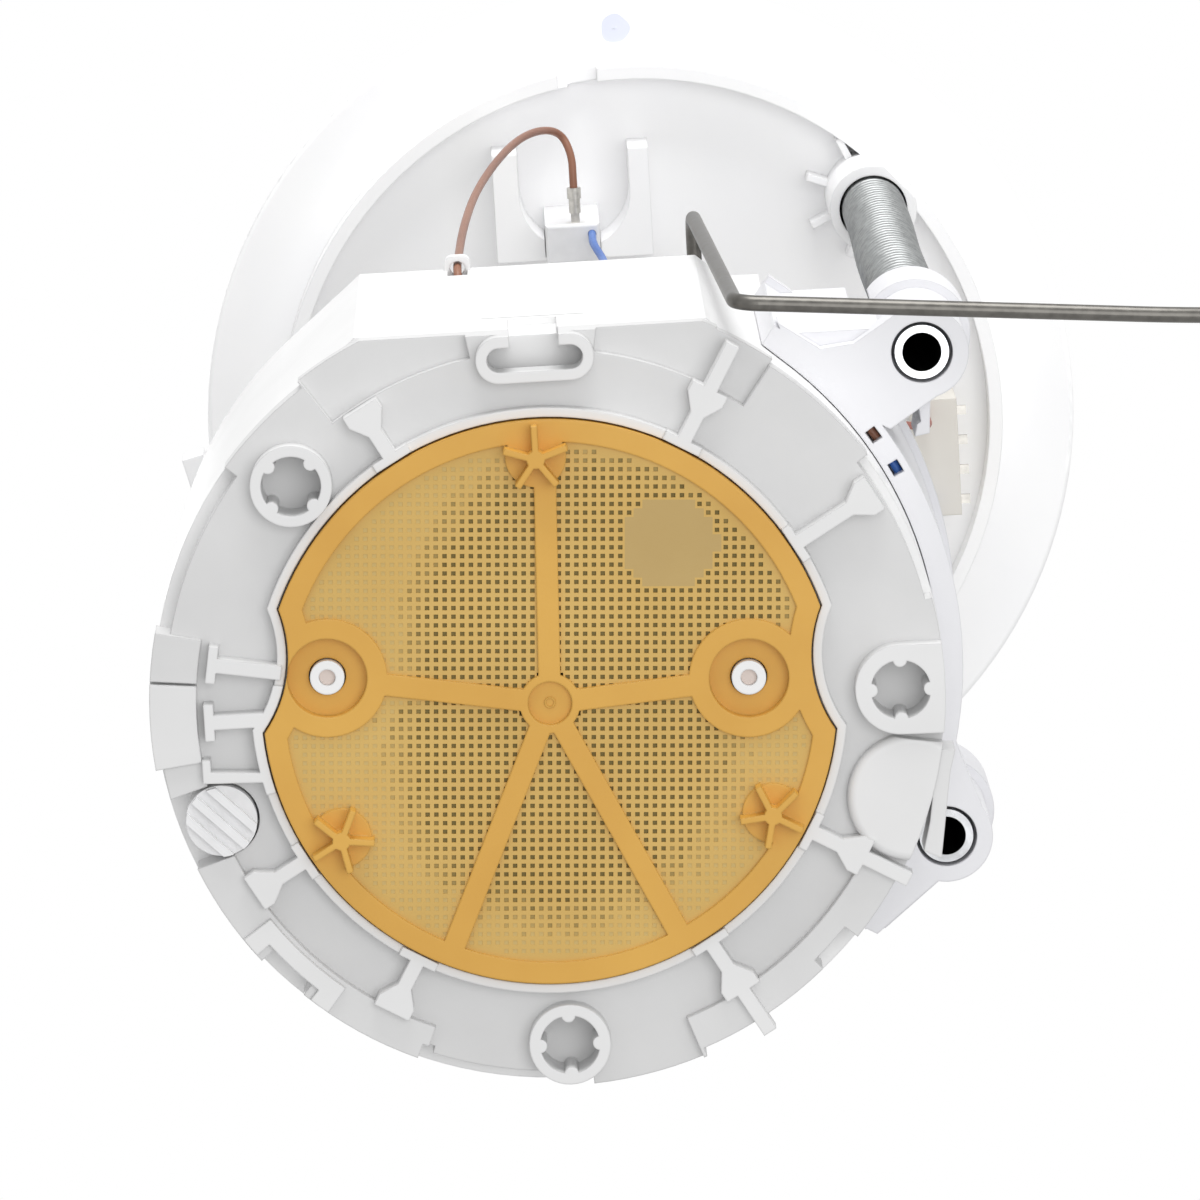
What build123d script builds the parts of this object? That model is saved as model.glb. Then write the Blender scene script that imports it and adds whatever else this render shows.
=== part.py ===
from build123d import *
import math
import os

# Fuel pump module that hangs in a tank: a round flange, two spring-loaded guide rods and a
# reservoir cup that slides on them, with a pump, a fuel filter, a bottom strainer and a
# float-arm level sender. Lengths are millimetres.
#
# Pieces are drawn around the reservoir's axis, with height 0 at the underside of the base
# ring's ribs. Their last step moves them to the module's own frame, whose origin is on the
# flange's axis at its seat on the tank.

# ------------------------------------------------------------------ flange
FLANGE_X = 17.5         # flange axis, seen from the reservoir axis
FLANGE_Y = -8.0
SEAT_Z = 208.0          # flange seat above the base plane, reservoir fully extended
RIM_R = 73.0
RIM_T = 3.6
SPIGOT_R = 60.5
SPIGOT_WALL = 2.2
SPIGOT_H = 8.0
DECK_DROP = 2.0         # the deck inside the spigot lies this much under the seat
SOCKET_R = 7.2          # spring socket on the deck's underside
SOCKET_H = 22.0
SOCKET_FLAT = 0.3       # the socket's flat side lies this far inside the spigot's radius

# ------------------------------------------------------------------ guide rods and springs
ROD_X = 57.5
ROD_YS = (-44.3, 28.4)
ROD_R = 4.0
ROD_BORE_R = 2.9
ROD_GRIP = 4.0          # length held in the flange
ROD_END_GAP = 0.5       # rod's end stops this far above the boss's lower face
BEAD_R = 4.3            # swaged stop bead near the rod's lower end
BEAD_H = 1.4
STOP_GAP = 0.05         # bead to its shoulder when fully extended
SPRING_R = 4.75         # mean radius
SPRING_WIRE_R = 0.5
SPRING_TURNS = 58
SPRING_GAP = 0.35       # spring to the wall of its cups
TRAVEL = 16.0           # how far the reservoir can rise on the rods

# ------------------------------------------------------------------ base ring
BASE_H = 8.0
BASE_FLOOR_Z = 3.0
BASE_FLOOR_T = 2.0
BASE_WALL_IN_R = 53.4
STEP_R = 51.3           # where the outer zone of the base changes level
STEP_UP = 1.5           # raised zones stand this much proud of the floor
STEP_DOWN = 2.0         # sunk zones lie this much deeper than the floor
# Outline of the base ring: start angle, end angle, outer radius.
BASE_OUTLINE = (
    (-11.7, 30.3, 57.4), (30.3, 41.3, 57.0), (41.3, 48.3, 54.6), (48.3, 69.8, 56.4),
    (69.8, 86.8, 57.7), (86.8, 111.3, 55.4), (111.3, 113.3, 54.3), (113.3, 132.8, 56.5),
    (132.8, 140.8, 54.5), (140.8, 173.3, 57.0), (173.3, 193.3, 58.1), (193.3, 219.3, 55.9),
    (219.3, 235.3, 58.1), (235.3, 246.3, 59.1), (246.3, 297.3, 59.4), (297.3, 306.3, 59.1),
    (306.3, 325.3, 58.3), (325.3, 348.3, 56.4),
)
RAISED_ZONES = ((30.3, 70.3), (112.3, 175.3))
SUNK_ZONES = ((235.5, 260.3), (280.3, 306.3))
RIB_W = 2.1
RIB_HEAD = (5.6, 1.7)   # width and depth of a rib's outer head
RIB_TOE = (5.8, 1.3)    # width and depth of a rib's inner toe
# Ribs: angle, radius of the outer end, radius of the outer head.
BASE_RIBS = (
    (30, 58.6, 50.6), (60, 58.6, 50.6), (120, 51.3, 50.6), (150, 51.3, 50.6),
    (-30, 55.8, 55.2), (-60, 58.6, 50.6), (-119.2, 50.9, 50.3),
)
KEY_SOCKET_R = 5.95
KEY_BORE_R = 4.35
KEY_TOOTH_R = 1.0
KEY_DEPTH = 6.6
KEY_SOCKETS = ((49.1, -136.3), (50.9, 1.2), (50.9, 90.0))   # radius, angle
KEY_HOUSING_R = 6.6
BAY_R, BAY_AT_R, BAY_ANGLE = 5.5, 50.9, 163.0
PAD_R, PAD_AT_R, PAD_ANGLE = 9.4, 54.6, 18.5
SLOT_W, SLOT_H = 13.9, 3.6
SLOT_NECK_W = 7.1
SLOT_X, SLOT_Y = 0.7, -50.4
SLOT_RIM = 1.6

# ------------------------------------------------------------------ strainer
STRAINER_R = 41.6
STRAINER_GAP = 0.3
STRAINER_T = 3.3
STRAINER_DROP = 0.4     # strainer face stands this far below the rib plane
STRAINER_RIM = 3.2
STRAINER_LEDGE = 2.0    # width of the seat it rests on
SCALLOP_R, SCALLOP_AT_R = 19.7, 58.0
NOZZLES = ((-32.0, -5.6), (29.0, -2.0))
NOZZLE_R = 2.5
NOZZLE_BORE_R = 1.2
NOZZLE_GAP = 0.2
NOZZLE_PAD_R = 8.7
NOZZLE_DISH_R = 5.8
NOZZLE_DISH_DEPTH = 1.8
SPOKE_W = 3.2
SPOKE_T = 1.6
SPOKE_ANGLES = (-88.0, 64.4, 114.5)
HUB_R = 4.4
HUB_DISH = 0.8
MESH_LEVEL = 0.5        # mesh lies this far above the strainer face
MESH_T = 0.8
BLANK_X, BLANK_Y, BLANK_R = 18.7, -22.5, 6.8
FOOT_AT_R = 36.2
FOOT_ANGLES = (-90.0, 30.0, 150.0)
FOOT_H = 3.0
FOOT_ARM = 4.8
FOOT_BLADE = 0.9
FOOT_CORE_R = 1.3
FOOT_PAD_R = 4.4
MEDIUM_T = 1.4

# ------------------------------------------------------------------ reservoir cup and cover
CUP_R = 57.6
CUP_WALL = 2.0
CUP_FLOOR = 2.4
CUP_TOP = 72.0
FLAT_Y = 53.8           # flat side, distance from the axis
FLAT_ENDS = (25.8, -25.3)            # where the flat side turns into its shoulders
SHOULDER_ANGLES = (-50.5, 229.4)     # where the shoulders meet the round wall
LEAD_X = -10.4          # where the brown lead leaves over the flat side
LEAD_NOTCH_W, LEAD_NOTCH_H = 3.0, 5.0
RECESS_H = 10.0
COVER_T = 2.4
COVER_LIP_H = 3.0
COVER_LIP_T = 1.6
FIT = 0.15              # general clearance between mating shells

# ------------------------------------------------------------------ guide carrier
CARRIER_Z = 25.0
CARRIER_R = 61.3
CARRIER_START, CARRIER_END = -54.0, 43.0
BOSS_R = 6.9
BOSS_H = 19.0
BOSS_CLEARANCE = 0.06
BOSS_RELIEF_R = 4.55    # counterbore under the boss that takes the stop bead
BOSS_RELIEF_H = 5.0
CUP_SEAT_T = 2.0
SPRING_CUP_R = 8.2
SPRING_CUP_H = 14.0
WEB_T = 2.4
WEB_SET_BACK = 3.0      # webs start this far above the ears' underside
EAR_T = 6.0
CHANNEL_Z = 27.0
CHANNEL_H = 3.0
CHANNEL_W = 1.7
WINDOWS = (-33.1, -27.4)
WINDOW_ARC = 2.0

# ------------------------------------------------------------------ pump and filter
PUMP_X, PUMP_Y = 0.0, 4.0
PUMP_R = 19.0
PUMP_SHELL_T = 0.8
PUMP_Z = 16.0
PUMP_H = 42.0
INLET_CAP_H = 7.0
OUTLET_CAP_H = 6.0
CAP_RISE = 2.0
ROTOR_GAP = 0.3
IMPELLER_R = 15.0
IMPELLER_T = 3.0
IMPELLER_VANES = 30
CHAMBER_PLATE_T = 3.4
ARMATURE_R = 11.5
ARMATURE_H = 17.0
COMMUTATOR_R = 5.0
SHAFT_R = 1.6
SHAFT_CLEARANCE = 0.05
MAGNET_IN_R = 12.4
MAGNET_ARC = 130.0
PUMP_NIPPLE_R, PUMP_NIPPLE_BORE_R = 3.6, 2.2
PUMP_NIPPLE_X, PUMP_NIPPLE_Y = 9.0, 8.0
PUMP_TAB_X = 4.0
PUMP_TAB_Y = -8.0
SEAT_RING_IN_R = 9.0
FILTER_R = 35.5
FILTER_IN_R = 20.2
FILTER_WALL = 1.4
FILTER_TOP = 61.0
FILTER_LID_T = 4.0
PLEATS = 36
PLEAT_IN_R, PLEAT_OUT_R, PLEAT_T = 23.2, 33.0, 0.5
HOSE_X, HOSE_Y = -25.0, -2.0
REGULATOR_X, REGULATOR_Y = 22.0, 16.0
REGULATOR_R = 8.0
REGULATOR_H = 14.0
VALVE_X, VALVE_Y, VALVE_R = -24.0, 41.0, 6.0
JET_R, JET_BORE_R, JET_L = 3.6, 1.8, 26.0
JET_AT_R, JET_ANGLE = 47.6, 52.0

# ------------------------------------------------------------------ hose and outlet
OUTLET_X, OUTLET_Y = 4.0, -6.0
BARB_R, BARB_BORE_R = 4.3, 3.0
HOSE_R, HOSE_BORE_R = 5.8, 4.4
HOSE_LOW_Z = 76.0
HOSE_TOP_Z = 200.0
SPIGOT_PIPE_R = 3.95
SPIGOT_PIPE_BORE_R = 2.8
SPIGOT_PIPE_L = 30.0
SPIGOT_PIPE_RISE = 9.0
PIPE_BEAD_R, PIPE_BEAD_W, PIPE_BEAD_BACK = 4.9, 1.6, 10.0

# ------------------------------------------------------------------ electrical
BLOCK_X0, BLOCK_X1 = 62.5, 69.8
BLOCK_Y0, BLOCK_Y1 = -11.3, 8.3
BLOCK_H = 18.0
PIN_PITCH = 5.0
PIN_COUNT = 4
PIN_W, PIN_T = 1.5, 0.8
PIN_TAIL = 1.6
PIN_TOP = 12.0          # pin height above the flange's upper face
SHELL_H = 17.0
SHELL_MARGIN = 3.2
SHELL_WALL = 1.8
LEAD_BLOCK_X0, LEAD_BLOCK_X1 = 3.2, 12.2
LEAD_BLOCK_Y0, LEAD_BLOCK_Y1 = -45.0, -38.4
LEAD_BLOCK_H = 24.0
LEAD_R = 0.65

# ------------------------------------------------------------------ level sender
PIVOT_X, PIVOT_Z = 26.1, 98.0
ARM_Y = -56.6
WIRE_R = 1.15
WIRE_CLEARANCE = 0.05
SENDER_X0, SENDER_X1 = 10.0, 42.0
SENDER_FRONT_Y, SENDER_BACK_Y = -46.0, -37.0
SENDER_PLATE = 2.2
SENDER_H = 30.0
HUB_OUT_R = 4.6
HUB_SIDE_GAP = 0.3
CARD_T = 0.6
CARD_HALF_W = 13.0
CARD_LOW, CARD_HIGH = 17.5, 7.0     # below the pivot
WIPER_R = 15.0
WIPER_W, WIPER_T = 2.4, 0.3
WIPER_REST = -127.5     # wiper direction at rest, degrees above +X
LUG_REST = 60.0         # direction of the hub's stop lug at rest
LUG_W = 2.4
PEG_R = 1.0
PEG_AT_R = 6.4
RUNNING_GAP = 0.05
ARM_SWING = 75.0        # degrees between the arm's stops
POST_Y = -40.2          # leads end in posts on the sender's back plate
ARM_FOOT_X, ARM_FOOT_Z = 30.0, 2.2
ARM_OUT_X, ARM_OUT_Y = 96.4, -50.8
FLOAT_X, FLOAT_Z = 128.0, 12.0
FLOAT_ARM_Y = -48.0
FLOAT_L, FLOAT_T, FLOAT_H = 36.0, 17.0, 20.0
FLOAT_SIDE_GAP = 0.4
BEND_R = 3.4
CLIP_R, CLIP_T = 3.4, 0.7

BASE_ALIGN = (Align.CENTER, Align.CENTER, Align.MIN)
DECK_Z = SEAT_Z - DECK_DROP
RIM_TOP = SEAT_Z + RIM_T
BOSS_TOP = CARRIER_Z + BOSS_H
SPRING_SEAT_Z = BOSS_TOP + CUP_SEAT_T
FLOOR_TOP = BASE_H + CUP_FLOOR
COVER_TOP = CUP_TOP + COVER_T
PUMP_TOP = PUMP_Z + PUMP_H
LID_TOP = FILTER_TOP + FILTER_LID_T
ROD_LOW = CARRIER_Z + ROD_END_GAP


# ------------------------------------------------------------------ helpers
def polar(radius, angle):
    return (radius * math.cos(math.radians(angle)), radius * math.sin(math.radians(angle)))


def disc(radius, low, high, x=0.0, y=0.0):
    """Upright cylinder between two heights."""
    return Pos(x, y, low) * Cylinder(radius, high - low, align=BASE_ALIGN)


def tube(outer, inner, low, high, x=0.0, y=0.0):
    return disc(outer, low, high, x, y) - disc(inner, low, high, x, y)


def block(x0, x1, y0, y1, low, high):
    centre = Pos((x0 + x1) / 2, (y0 + y1) / 2, low)
    return centre * Box(x1 - x0, y1 - y0, high - low, align=BASE_ALIGN)


def slab(face, low, high):
    """A flat outline made solid between two heights."""
    return extrude(Pos(0, 0, low) * face, high - low, dir=(0, 0, 1))


def polygon(points, low, high):
    return slab(make_face(Polyline(*points, close=True)), low, high)


def sector(inner, outer, start, end, low, high):
    """Part of a ring between two angles."""
    far = CenterArc((0, 0), outer, start, end - start)
    near = CenterArc((0, 0), inner, start, end - start)
    outline = far + Line(far @ 1, near @ 1) + near + Line(near @ 0, far @ 0)
    return slab(make_face(outline), low, high)


def bar(start, end, angle, width, low, high):
    """Straight rib between two radii, along an angle."""
    return Rot(0, 0, angle) * block(start, end, -width / 2, width / 2, low, high)


def rod_y(radius, x, z, y0, y1):
    """Cylinder along Y."""
    return Pos(x, (y0 + y1) / 2, z) * Rot(90, 0, 0) * Cylinder(radius, abs(y1 - y0))


def lead(points, radius, bends):
    """Round lead or pipe along straight runs joined by arcs."""
    path = FilletPolyline(*points, radius=bends)
    start = Plane(path @ 0, z_dir=path % 0)
    return sweep(start * Circle(radius), path)


def bend_radii(points, share=0.45):
    """Largest arcs that the runs of a route allow, one for each corner."""
    radii = []
    for before, here, after in zip(points, points[1:], points[2:]):
        run_in, run_out = Vector(*here) - Vector(*before), Vector(*after) - Vector(*here)
        turn = math.radians(run_in.get_angle(run_out))
        radii.append(share * min(run_in.length, run_out.length) / math.tan(turn / 2))
    return radii


# ------------------------------------------------------------------ base ring
def strainer_outline(grow=0.0):
    """Round strainer with a scallop beside each nozzle, grown by a margin."""
    face = Circle(STRAINER_R + grow)
    for x, y in NOZZLES:
        cx, cy = polar(SCALLOP_AT_R, math.degrees(math.atan2(y, x)))
        face -= Pos(cx, cy) * Circle(SCALLOP_R - grow)
    return face


def base_outline():
    """Outer outline of the base ring, its flat side still round."""
    edges = []
    count = len(BASE_OUTLINE)
    for k, (start, end, radius) in enumerate(BASE_OUTLINE):
        following = BASE_OUTLINE[(k + 1) % count][2]
        edges.append(CenterArc((0, 0), radius, start, end - start))
        if following != radius:
            edges.append(Line(polar(radius, end), polar(following, end)))
    flat_side = Pos(0, 100 - FLAT_Y) * Rectangle(200, 200)
    return make_face(edges) & flat_side


def base_wall_inside():
    inside = Circle(BASE_WALL_IN_R)
    return inside & (Pos(0, 100 - FLAT_Y + CUP_WALL) * Rectangle(200, 200))


def base_rib(angle, end, head_at):
    """T-shaped rib: narrow web, wide toe at the strainer and a sloped head outside."""
    low, high = 0.0, BASE_FLOOR_Z + 0.5
    toe_r = STRAINER_R + STRAINER_GAP
    head_w, head_t = RIB_HEAD
    toe_w, toe_t = RIB_TOE
    rib = bar(toe_r, end, angle, RIB_W, low, high)
    rib += bar(toe_r, toe_r + toe_t, angle, toe_w, low, high)
    slope = [(head_at - 2 * head_t, RIB_W / 2), (head_at - head_t / 2, head_w / 2),
             (head_at + head_t / 2, head_w / 2), (head_at + head_t / 2, -head_w / 2),
             (head_at - head_t / 2, -head_w / 2), (head_at - 2 * head_t, -RIB_W / 2)]
    rib += Rot(0, 0, angle) * polygon(slope, low, high)
    return rib


def key_socket(radius, angle):
    """Raised round socket with four small teeth; returns what is added and what is cut."""
    x, y = polar(radius, angle)
    added = disc(KEY_SOCKET_R, 0, BASE_H, x, y)
    cut = disc(KEY_BORE_R, 0, KEY_DEPTH, x, y)
    for k in range(4):
        tx, ty = polar(KEY_BORE_R, angle + 90 * k)
        cut -= disc(KEY_TOOTH_R, 0, KEY_DEPTH, x + tx, y + ty)
    return added, cut


def base_ring():
    outline = base_outline()
    floor_low, floor_high = BASE_FLOOR_Z, BASE_FLOOR_Z + BASE_FLOOR_T
    ring = slab(outline, floor_low, floor_high)
    ring += slab(outline - base_wall_inside(), floor_low, BASE_H)
    sunk_low = floor_low + STEP_DOWN
    for start, end in RAISED_ZONES:
        zone = sector(STEP_R, 70, start, end, floor_low - STEP_UP, floor_low)
        ring += zone & slab(outline, floor_low - STEP_UP, floor_low)
    for start, end in SUNK_ZONES:
        zone = sector(STEP_R - 1.5, 70, start - 1.5, end + 1.5, sunk_low,
                      sunk_low + BASE_FLOOR_T)
        ring += zone & slab(outline, sunk_low, sunk_low + BASE_FLOOR_T)
        ring -= sector(STEP_R, 70, start, end, floor_low, sunk_low)
    # Opening for the strainer: a ledge to seat it and a low lip around it.
    lip = strainer_outline(STRAINER_GAP + 1.3) - strainer_outline(STRAINER_GAP)
    ring += slab(lip, 0.6, floor_low)
    ring -= slab(strainer_outline(-STRAINER_LEDGE), floor_low, floor_high)
    for angle, end, head_at in BASE_RIBS:
        ring += base_rib(angle, end, head_at)
    ring += left_frame()
    ring += smooth_pad(outline)
    ring += notch_rim()
    # Housing around the right-hand key socket, open towards the edge.
    housing_r, housing_angle = KEY_SOCKETS[1]
    hx, hy = polar(housing_r, housing_angle)
    housing = disc(KEY_HOUSING_R, 0, floor_low + 0.5, hx, hy)
    housing += bar(housing_r, 70, housing_angle, 2 * KEY_HOUSING_R, 0, floor_low + 0.5)
    ring += housing & slab(outline, 0, floor_low + 0.5)
    rim = slot_face(SLOT_RIM) - slot_face(0.0)
    ring += slab(rim, 0.4, floor_low + 0.5) & slab(outline, 0, BASE_H)
    for radius, angle in KEY_SOCKETS:
        added, cut = key_socket(radius, angle)
        ring += added
        ring -= cut
    bay_x, bay_y = polar(BAY_AT_R, BAY_ANGLE)
    ring -= disc(BAY_R, 0, BASE_H, bay_x, bay_y)
    ring -= bar(BAY_AT_R, 70, BAY_ANGLE, 2 * BAY_R, 0, BASE_H)
    ring -= slab(slot_face(0.0), 0, floor_high)
    ring -= block(SLOT_X - SLOT_NECK_W / 2, SLOT_X + SLOT_NECK_W / 2, -60, SLOT_Y, 0, BASE_H)
    return ring


def slot_face(grow):
    width, height = SLOT_W + 2 * grow, SLOT_H + 2 * grow
    return Pos(SLOT_X, SLOT_Y) * SlotOverall(width, height)


def left_frame():
    """Raised ladder of ribs beside the left nozzle, with a split lug outside it."""
    low, high = 0.0, BASE_FLOOR_Z + 0.5
    frame = bar(39.2, 50.0, -170.2, RIB_W, low, high)
    frame += bar(48.6, 50.0, -170.2, 5.4, low, high)
    frame += bar(41.6, 50.2, 179.9, RIB_W, low, high)
    frame += bar(48.8, 50.2, 179.9, 5.4, low, high)
    lowest_bar = [(-50.9, 5.6), (-50.9, 9.0), (-41.6, 9.3), (-41.8, 7.9), (-49.7, 7.4), (-49.7, 5.6)]
    frame += polygon(lowest_bar, low, high)
    frame += sector(51.3, 58.1, 173.3, 185.8, 0.8, high)
    frame += sector(51.3, 58.1, 186.2, 193.3, 1.6, high)
    lip = strainer_outline(STRAINER_GAP + 1.4) - strainer_outline(STRAINER_GAP)
    frame += slab(lip, low, high) & sector(30, 50, 165, 187, low, high)
    return frame


def smooth_pad(outline):
    """Domed pad beside the right-hand nozzle and the tapered finger at its outer edge."""
    x, y = polar(PAD_AT_R, PAD_ANGLE)
    pad = disc(PAD_R, 0.6, BASE_FLOOR_Z + 0.5, x, y)
    pad = fillet(pad.edges().group_by(Axis.Z)[0], 1.2)
    pad &= slab(outline, 0, BASE_H)
    pad &= sector(30, 70, 9.4, 29.3, 0, BASE_H)
    finger = [(55.8, 10.4), (58.4, 10.6), (57.5, 13.9), (55.6, 26.6), (53.1, 25.3), (54.2, 21.0)]
    # The second rod's end comes down over the finger as the reservoir rises.
    return pad + polygon(finger, 1.0, min(BASE_H, ROD_LOW - TRAVEL - 1.0))


def notch_rim():
    """Low U-shaped rim behind the notch in the outline."""
    low, high = 0.6, BASE_FLOOR_Z + 0.5
    rim = sector(51.9, 54.4, 130.8, 142.8, low, high)
    rim += sector(51.9, 56.3, 128.4, 131.6, low, high)
    rim += sector(51.9, 56.8, 142.0, 145.0, low, high)
    return rim


# ------------------------------------------------------------------ strainer
def strainer_frame():
    low = -STRAINER_DROP
    top = low + STRAINER_T
    frame = slab(strainer_outline() - strainer_outline(-STRAINER_RIM), low, top)
    hub = disc(HUB_R, low, low + SPOKE_T + HUB_DISH)
    inside = slab(strainer_outline(), low, top)
    for angle in SPOKE_ANGLES:
        frame += bar(0, STRAINER_R - 1, angle, SPOKE_W, low, low + SPOKE_T)
    for x, y in NOZZLES:
        reach = math.hypot(x, y)
        angle = math.degrees(math.atan2(y, x))
        frame += bar(0, reach, angle, SPOKE_W, low, low + SPOKE_T)
        frame += disc(NOZZLE_PAD_R, low, top, x, y) & inside
    frame += hub
    for angle in FOOT_ANGLES:
        x, y = polar(FOOT_AT_R, angle)
        frame += disc(FOOT_PAD_R, low, low + SPOKE_T, x, y) & inside
        frame += star_foot(x, y, angle)
    frame -= disc(HUB_R - 1.2, low, low + HUB_DISH)
    for x, y in NOZZLES:
        frame -= disc(NOZZLE_DISH_R, low, low + NOZZLE_DISH_DEPTH, x, y)
        frame -= disc(NOZZLE_R + NOZZLE_GAP, low, top, x, y)
    return frame


def star_foot(x, y, angle):
    """Five-armed foot that the module stands on."""
    high = -STRAINER_DROP + 0.5
    foot = disc(FOOT_CORE_R, -FOOT_H, high, x, y)
    for k in range(5):
        arm = Rot(0, 0, angle + 72 * k) * block(0, FOOT_ARM, -FOOT_BLADE / 2, FOOT_BLADE / 2,
                                                -FOOT_H, high)
        foot += Pos(x, y, 0) * arm
    return foot


def strainer_mesh(frame):
    low = -STRAINER_DROP + MESH_LEVEL
    mesh = slab(strainer_outline(-STRAINER_RIM), low, low + MESH_T) - frame
    for x, y in NOZZLES:
        mesh -= disc(NOZZLE_PAD_R, low, low + MESH_T, x, y)
    return mesh - disc(HUB_R, low, low + MESH_T)


def filter_medium():
    """Depth-filter pad that lies on the mesh, cut out around the nozzle pads."""
    low = -STRAINER_DROP + SPOKE_T
    pad = slab(strainer_outline(-STRAINER_RIM - 0.4), low, low + MEDIUM_T)
    for x, y in NOZZLES:
        pad -= disc(NOZZLE_PAD_R + 0.4, low, low + MEDIUM_T, x, y)
    return pad - disc(HUB_R + 0.3, low, low + HUB_DISH)


# ------------------------------------------------------------------ reservoir
def cup_outline(grow=0.0):
    """Round cup with one flat side and a straight shoulder at each end of it."""
    radius = CUP_R + grow
    start, end = SHOULDER_ANGLES
    right, left = ((x + math.copysign(0.55, x) * grow, -FLAT_Y - grow) for x in FLAT_ENDS)
    arc = CenterArc((0, 0), radius, start, end - start)
    return make_face(arc + Line(arc @ 1, left) + Line(left, right) + Line(right, arc @ 0))


def reservoir_cup():
    low = BASE_H
    cup = slab(cup_outline(), low, CUP_TOP) - slab(cup_outline(-CUP_WALL), FLOOR_TOP, CUP_TOP)
    half = LEAD_NOTCH_W / 2
    cup -= block(LEAD_X - half, LEAD_X + half, -FLAT_Y - 1, -FLAT_Y + CUP_WALL + 1,
                 CUP_TOP - LEAD_NOTCH_H, CUP_TOP)
    # Shallow recess over the base ring's slot and a long thin slot low on the flat side.
    cup -= block(-3.0, 4.1, -FLAT_Y - 1, -FLAT_Y + CUP_WALL / 2, low, low + RECESS_H)
    cup -= block(-6.9, 8.1, -FLAT_Y - 1, -FLAT_Y + CUP_WALL + 1, 19.6, 20.3)
    for x, y in NOZZLES:
        cup -= disc(NOZZLE_BORE_R, low, FLOOR_TOP, x, y)
    cup -= disc(VALVE_STEM_R + 0.1, low, FLOOR_TOP, VALVE_X, VALVE_Y)
    for k in range(6):
        hx, hy = polar(3.4, 60 * k)
        cup -= disc(0.9, low, FLOOR_TOP, VALVE_X + hx, VALVE_Y + hy)
    jx, jy = polar(JET_AT_R, JET_ANGLE)
    cup -= disc(JET_BORE_R, low, FLOOR_TOP, jx, jy)
    return cup


def floor_nozzle(x, y):
    """Short outlet tube under the cup's floor, seen in its dish in the strainer."""
    low = -STRAINER_DROP + 0.5
    flange = tube(NOZZLE_R + 1.4, NOZZLE_BORE_R, BASE_H - 1.2, BASE_H, x, y)
    return tube(NOZZLE_R, NOZZLE_BORE_R, low, BASE_H, x, y) + flange


VALVE_STEM_R = 1.4


def inlet_valve():
    """Rubber umbrella valve on the cup's floor."""
    head = disc(VALVE_R, FLOOR_TOP, FLOOR_TOP + 1.2, VALVE_X, VALVE_Y)
    stem = disc(VALVE_STEM_R, BASE_H - 1.4, FLOOR_TOP, VALVE_X, VALVE_Y)
    bulb = disc(VALVE_STEM_R + 0.8, BASE_H - 1.4, BASE_H, VALVE_X, VALVE_Y)
    return fillet(head.edges().group_by(Axis.Z)[-1], 0.8) + stem + bulb


def jet_pump():
    """Venturi tube that lies on the floor and draws fuel through it."""
    centre_z = FLOOR_TOP + JET_R + 1.0
    x, y = polar(JET_AT_R, JET_ANGLE)
    turn = Pos(x, y, centre_z) * Rot(0, 0, JET_ANGLE + 90) * Rot(0, 90, 0)
    body = turn * Cylinder(JET_R, JET_L)
    body += turn * Pos(0, 0, -JET_L / 2) * Cylinder(JET_R + 1.0, 3.0)
    body += disc(3.4, FLOOR_TOP, centre_z, x, y)
    body -= turn * Cylinder(JET_BORE_R, JET_L + 8)
    return body - disc(JET_BORE_R, FLOOR_TOP, centre_z, x, y)


def reservoir_cover():
    plate = slab(cup_outline(), CUP_TOP, COVER_TOP)
    lip_out = cup_outline(-CUP_WALL - FIT)
    lip_in = cup_outline(-CUP_WALL - FIT - COVER_LIP_T)
    plate += slab(lip_out - lip_in, CUP_TOP - COVER_LIP_H, CUP_TOP)
    # Collar on the flat side that the brown lead comes out of.
    collar = block(LEAD_X - 2.0, LEAD_X + 2.0, -FLAT_Y - 2.2, -FLAT_Y + 0.5, CUP_TOP, COVER_TOP)
    plate += fillet(collar.edges().filter_by(Axis.Z).group_by(Axis.Y)[0], 1.2)
    plate -= disc(LEAD_R + 0.5, CUP_TOP, COVER_TOP, LEAD_X, -FLAT_Y - 0.3)
    plate -= block(LEAD_X - 1.5, LEAD_X + 1.5, -FLAT_Y + CUP_WALL - 0.5, -FLAT_Y + 8,
                   CUP_TOP - COVER_LIP_H, CUP_TOP)
    plate -= disc(BARB_R + 3.5, CUP_TOP, COVER_TOP, HOSE_X, HOSE_Y)
    plate -= disc(REGULATOR_R + 0.8, CUP_TOP, COVER_TOP, REGULATOR_X, REGULATOR_Y)
    plate -= block(-9, 9, PUMP_Y + PUMP_TAB_Y - 6, PUMP_Y + PUMP_TAB_Y + 6, CUP_TOP, COVER_TOP)
    for angle in (70, 110, 150, 190, 230):
        plate -= sector(44, 50, angle - 9, angle + 9, CUP_TOP, COVER_TOP)
    for radius in (30, 40):
        ring = tube(radius + 0.8, radius - 0.8, COVER_TOP, COVER_TOP + 1.2)
        ring &= sector(5, 60, 60, 200, COVER_TOP, COVER_TOP + 1.2)
        plate += ring - disc(BARB_R + 3.5, CUP_TOP, 80, HOSE_X, HOSE_Y)
    return plate


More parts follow.
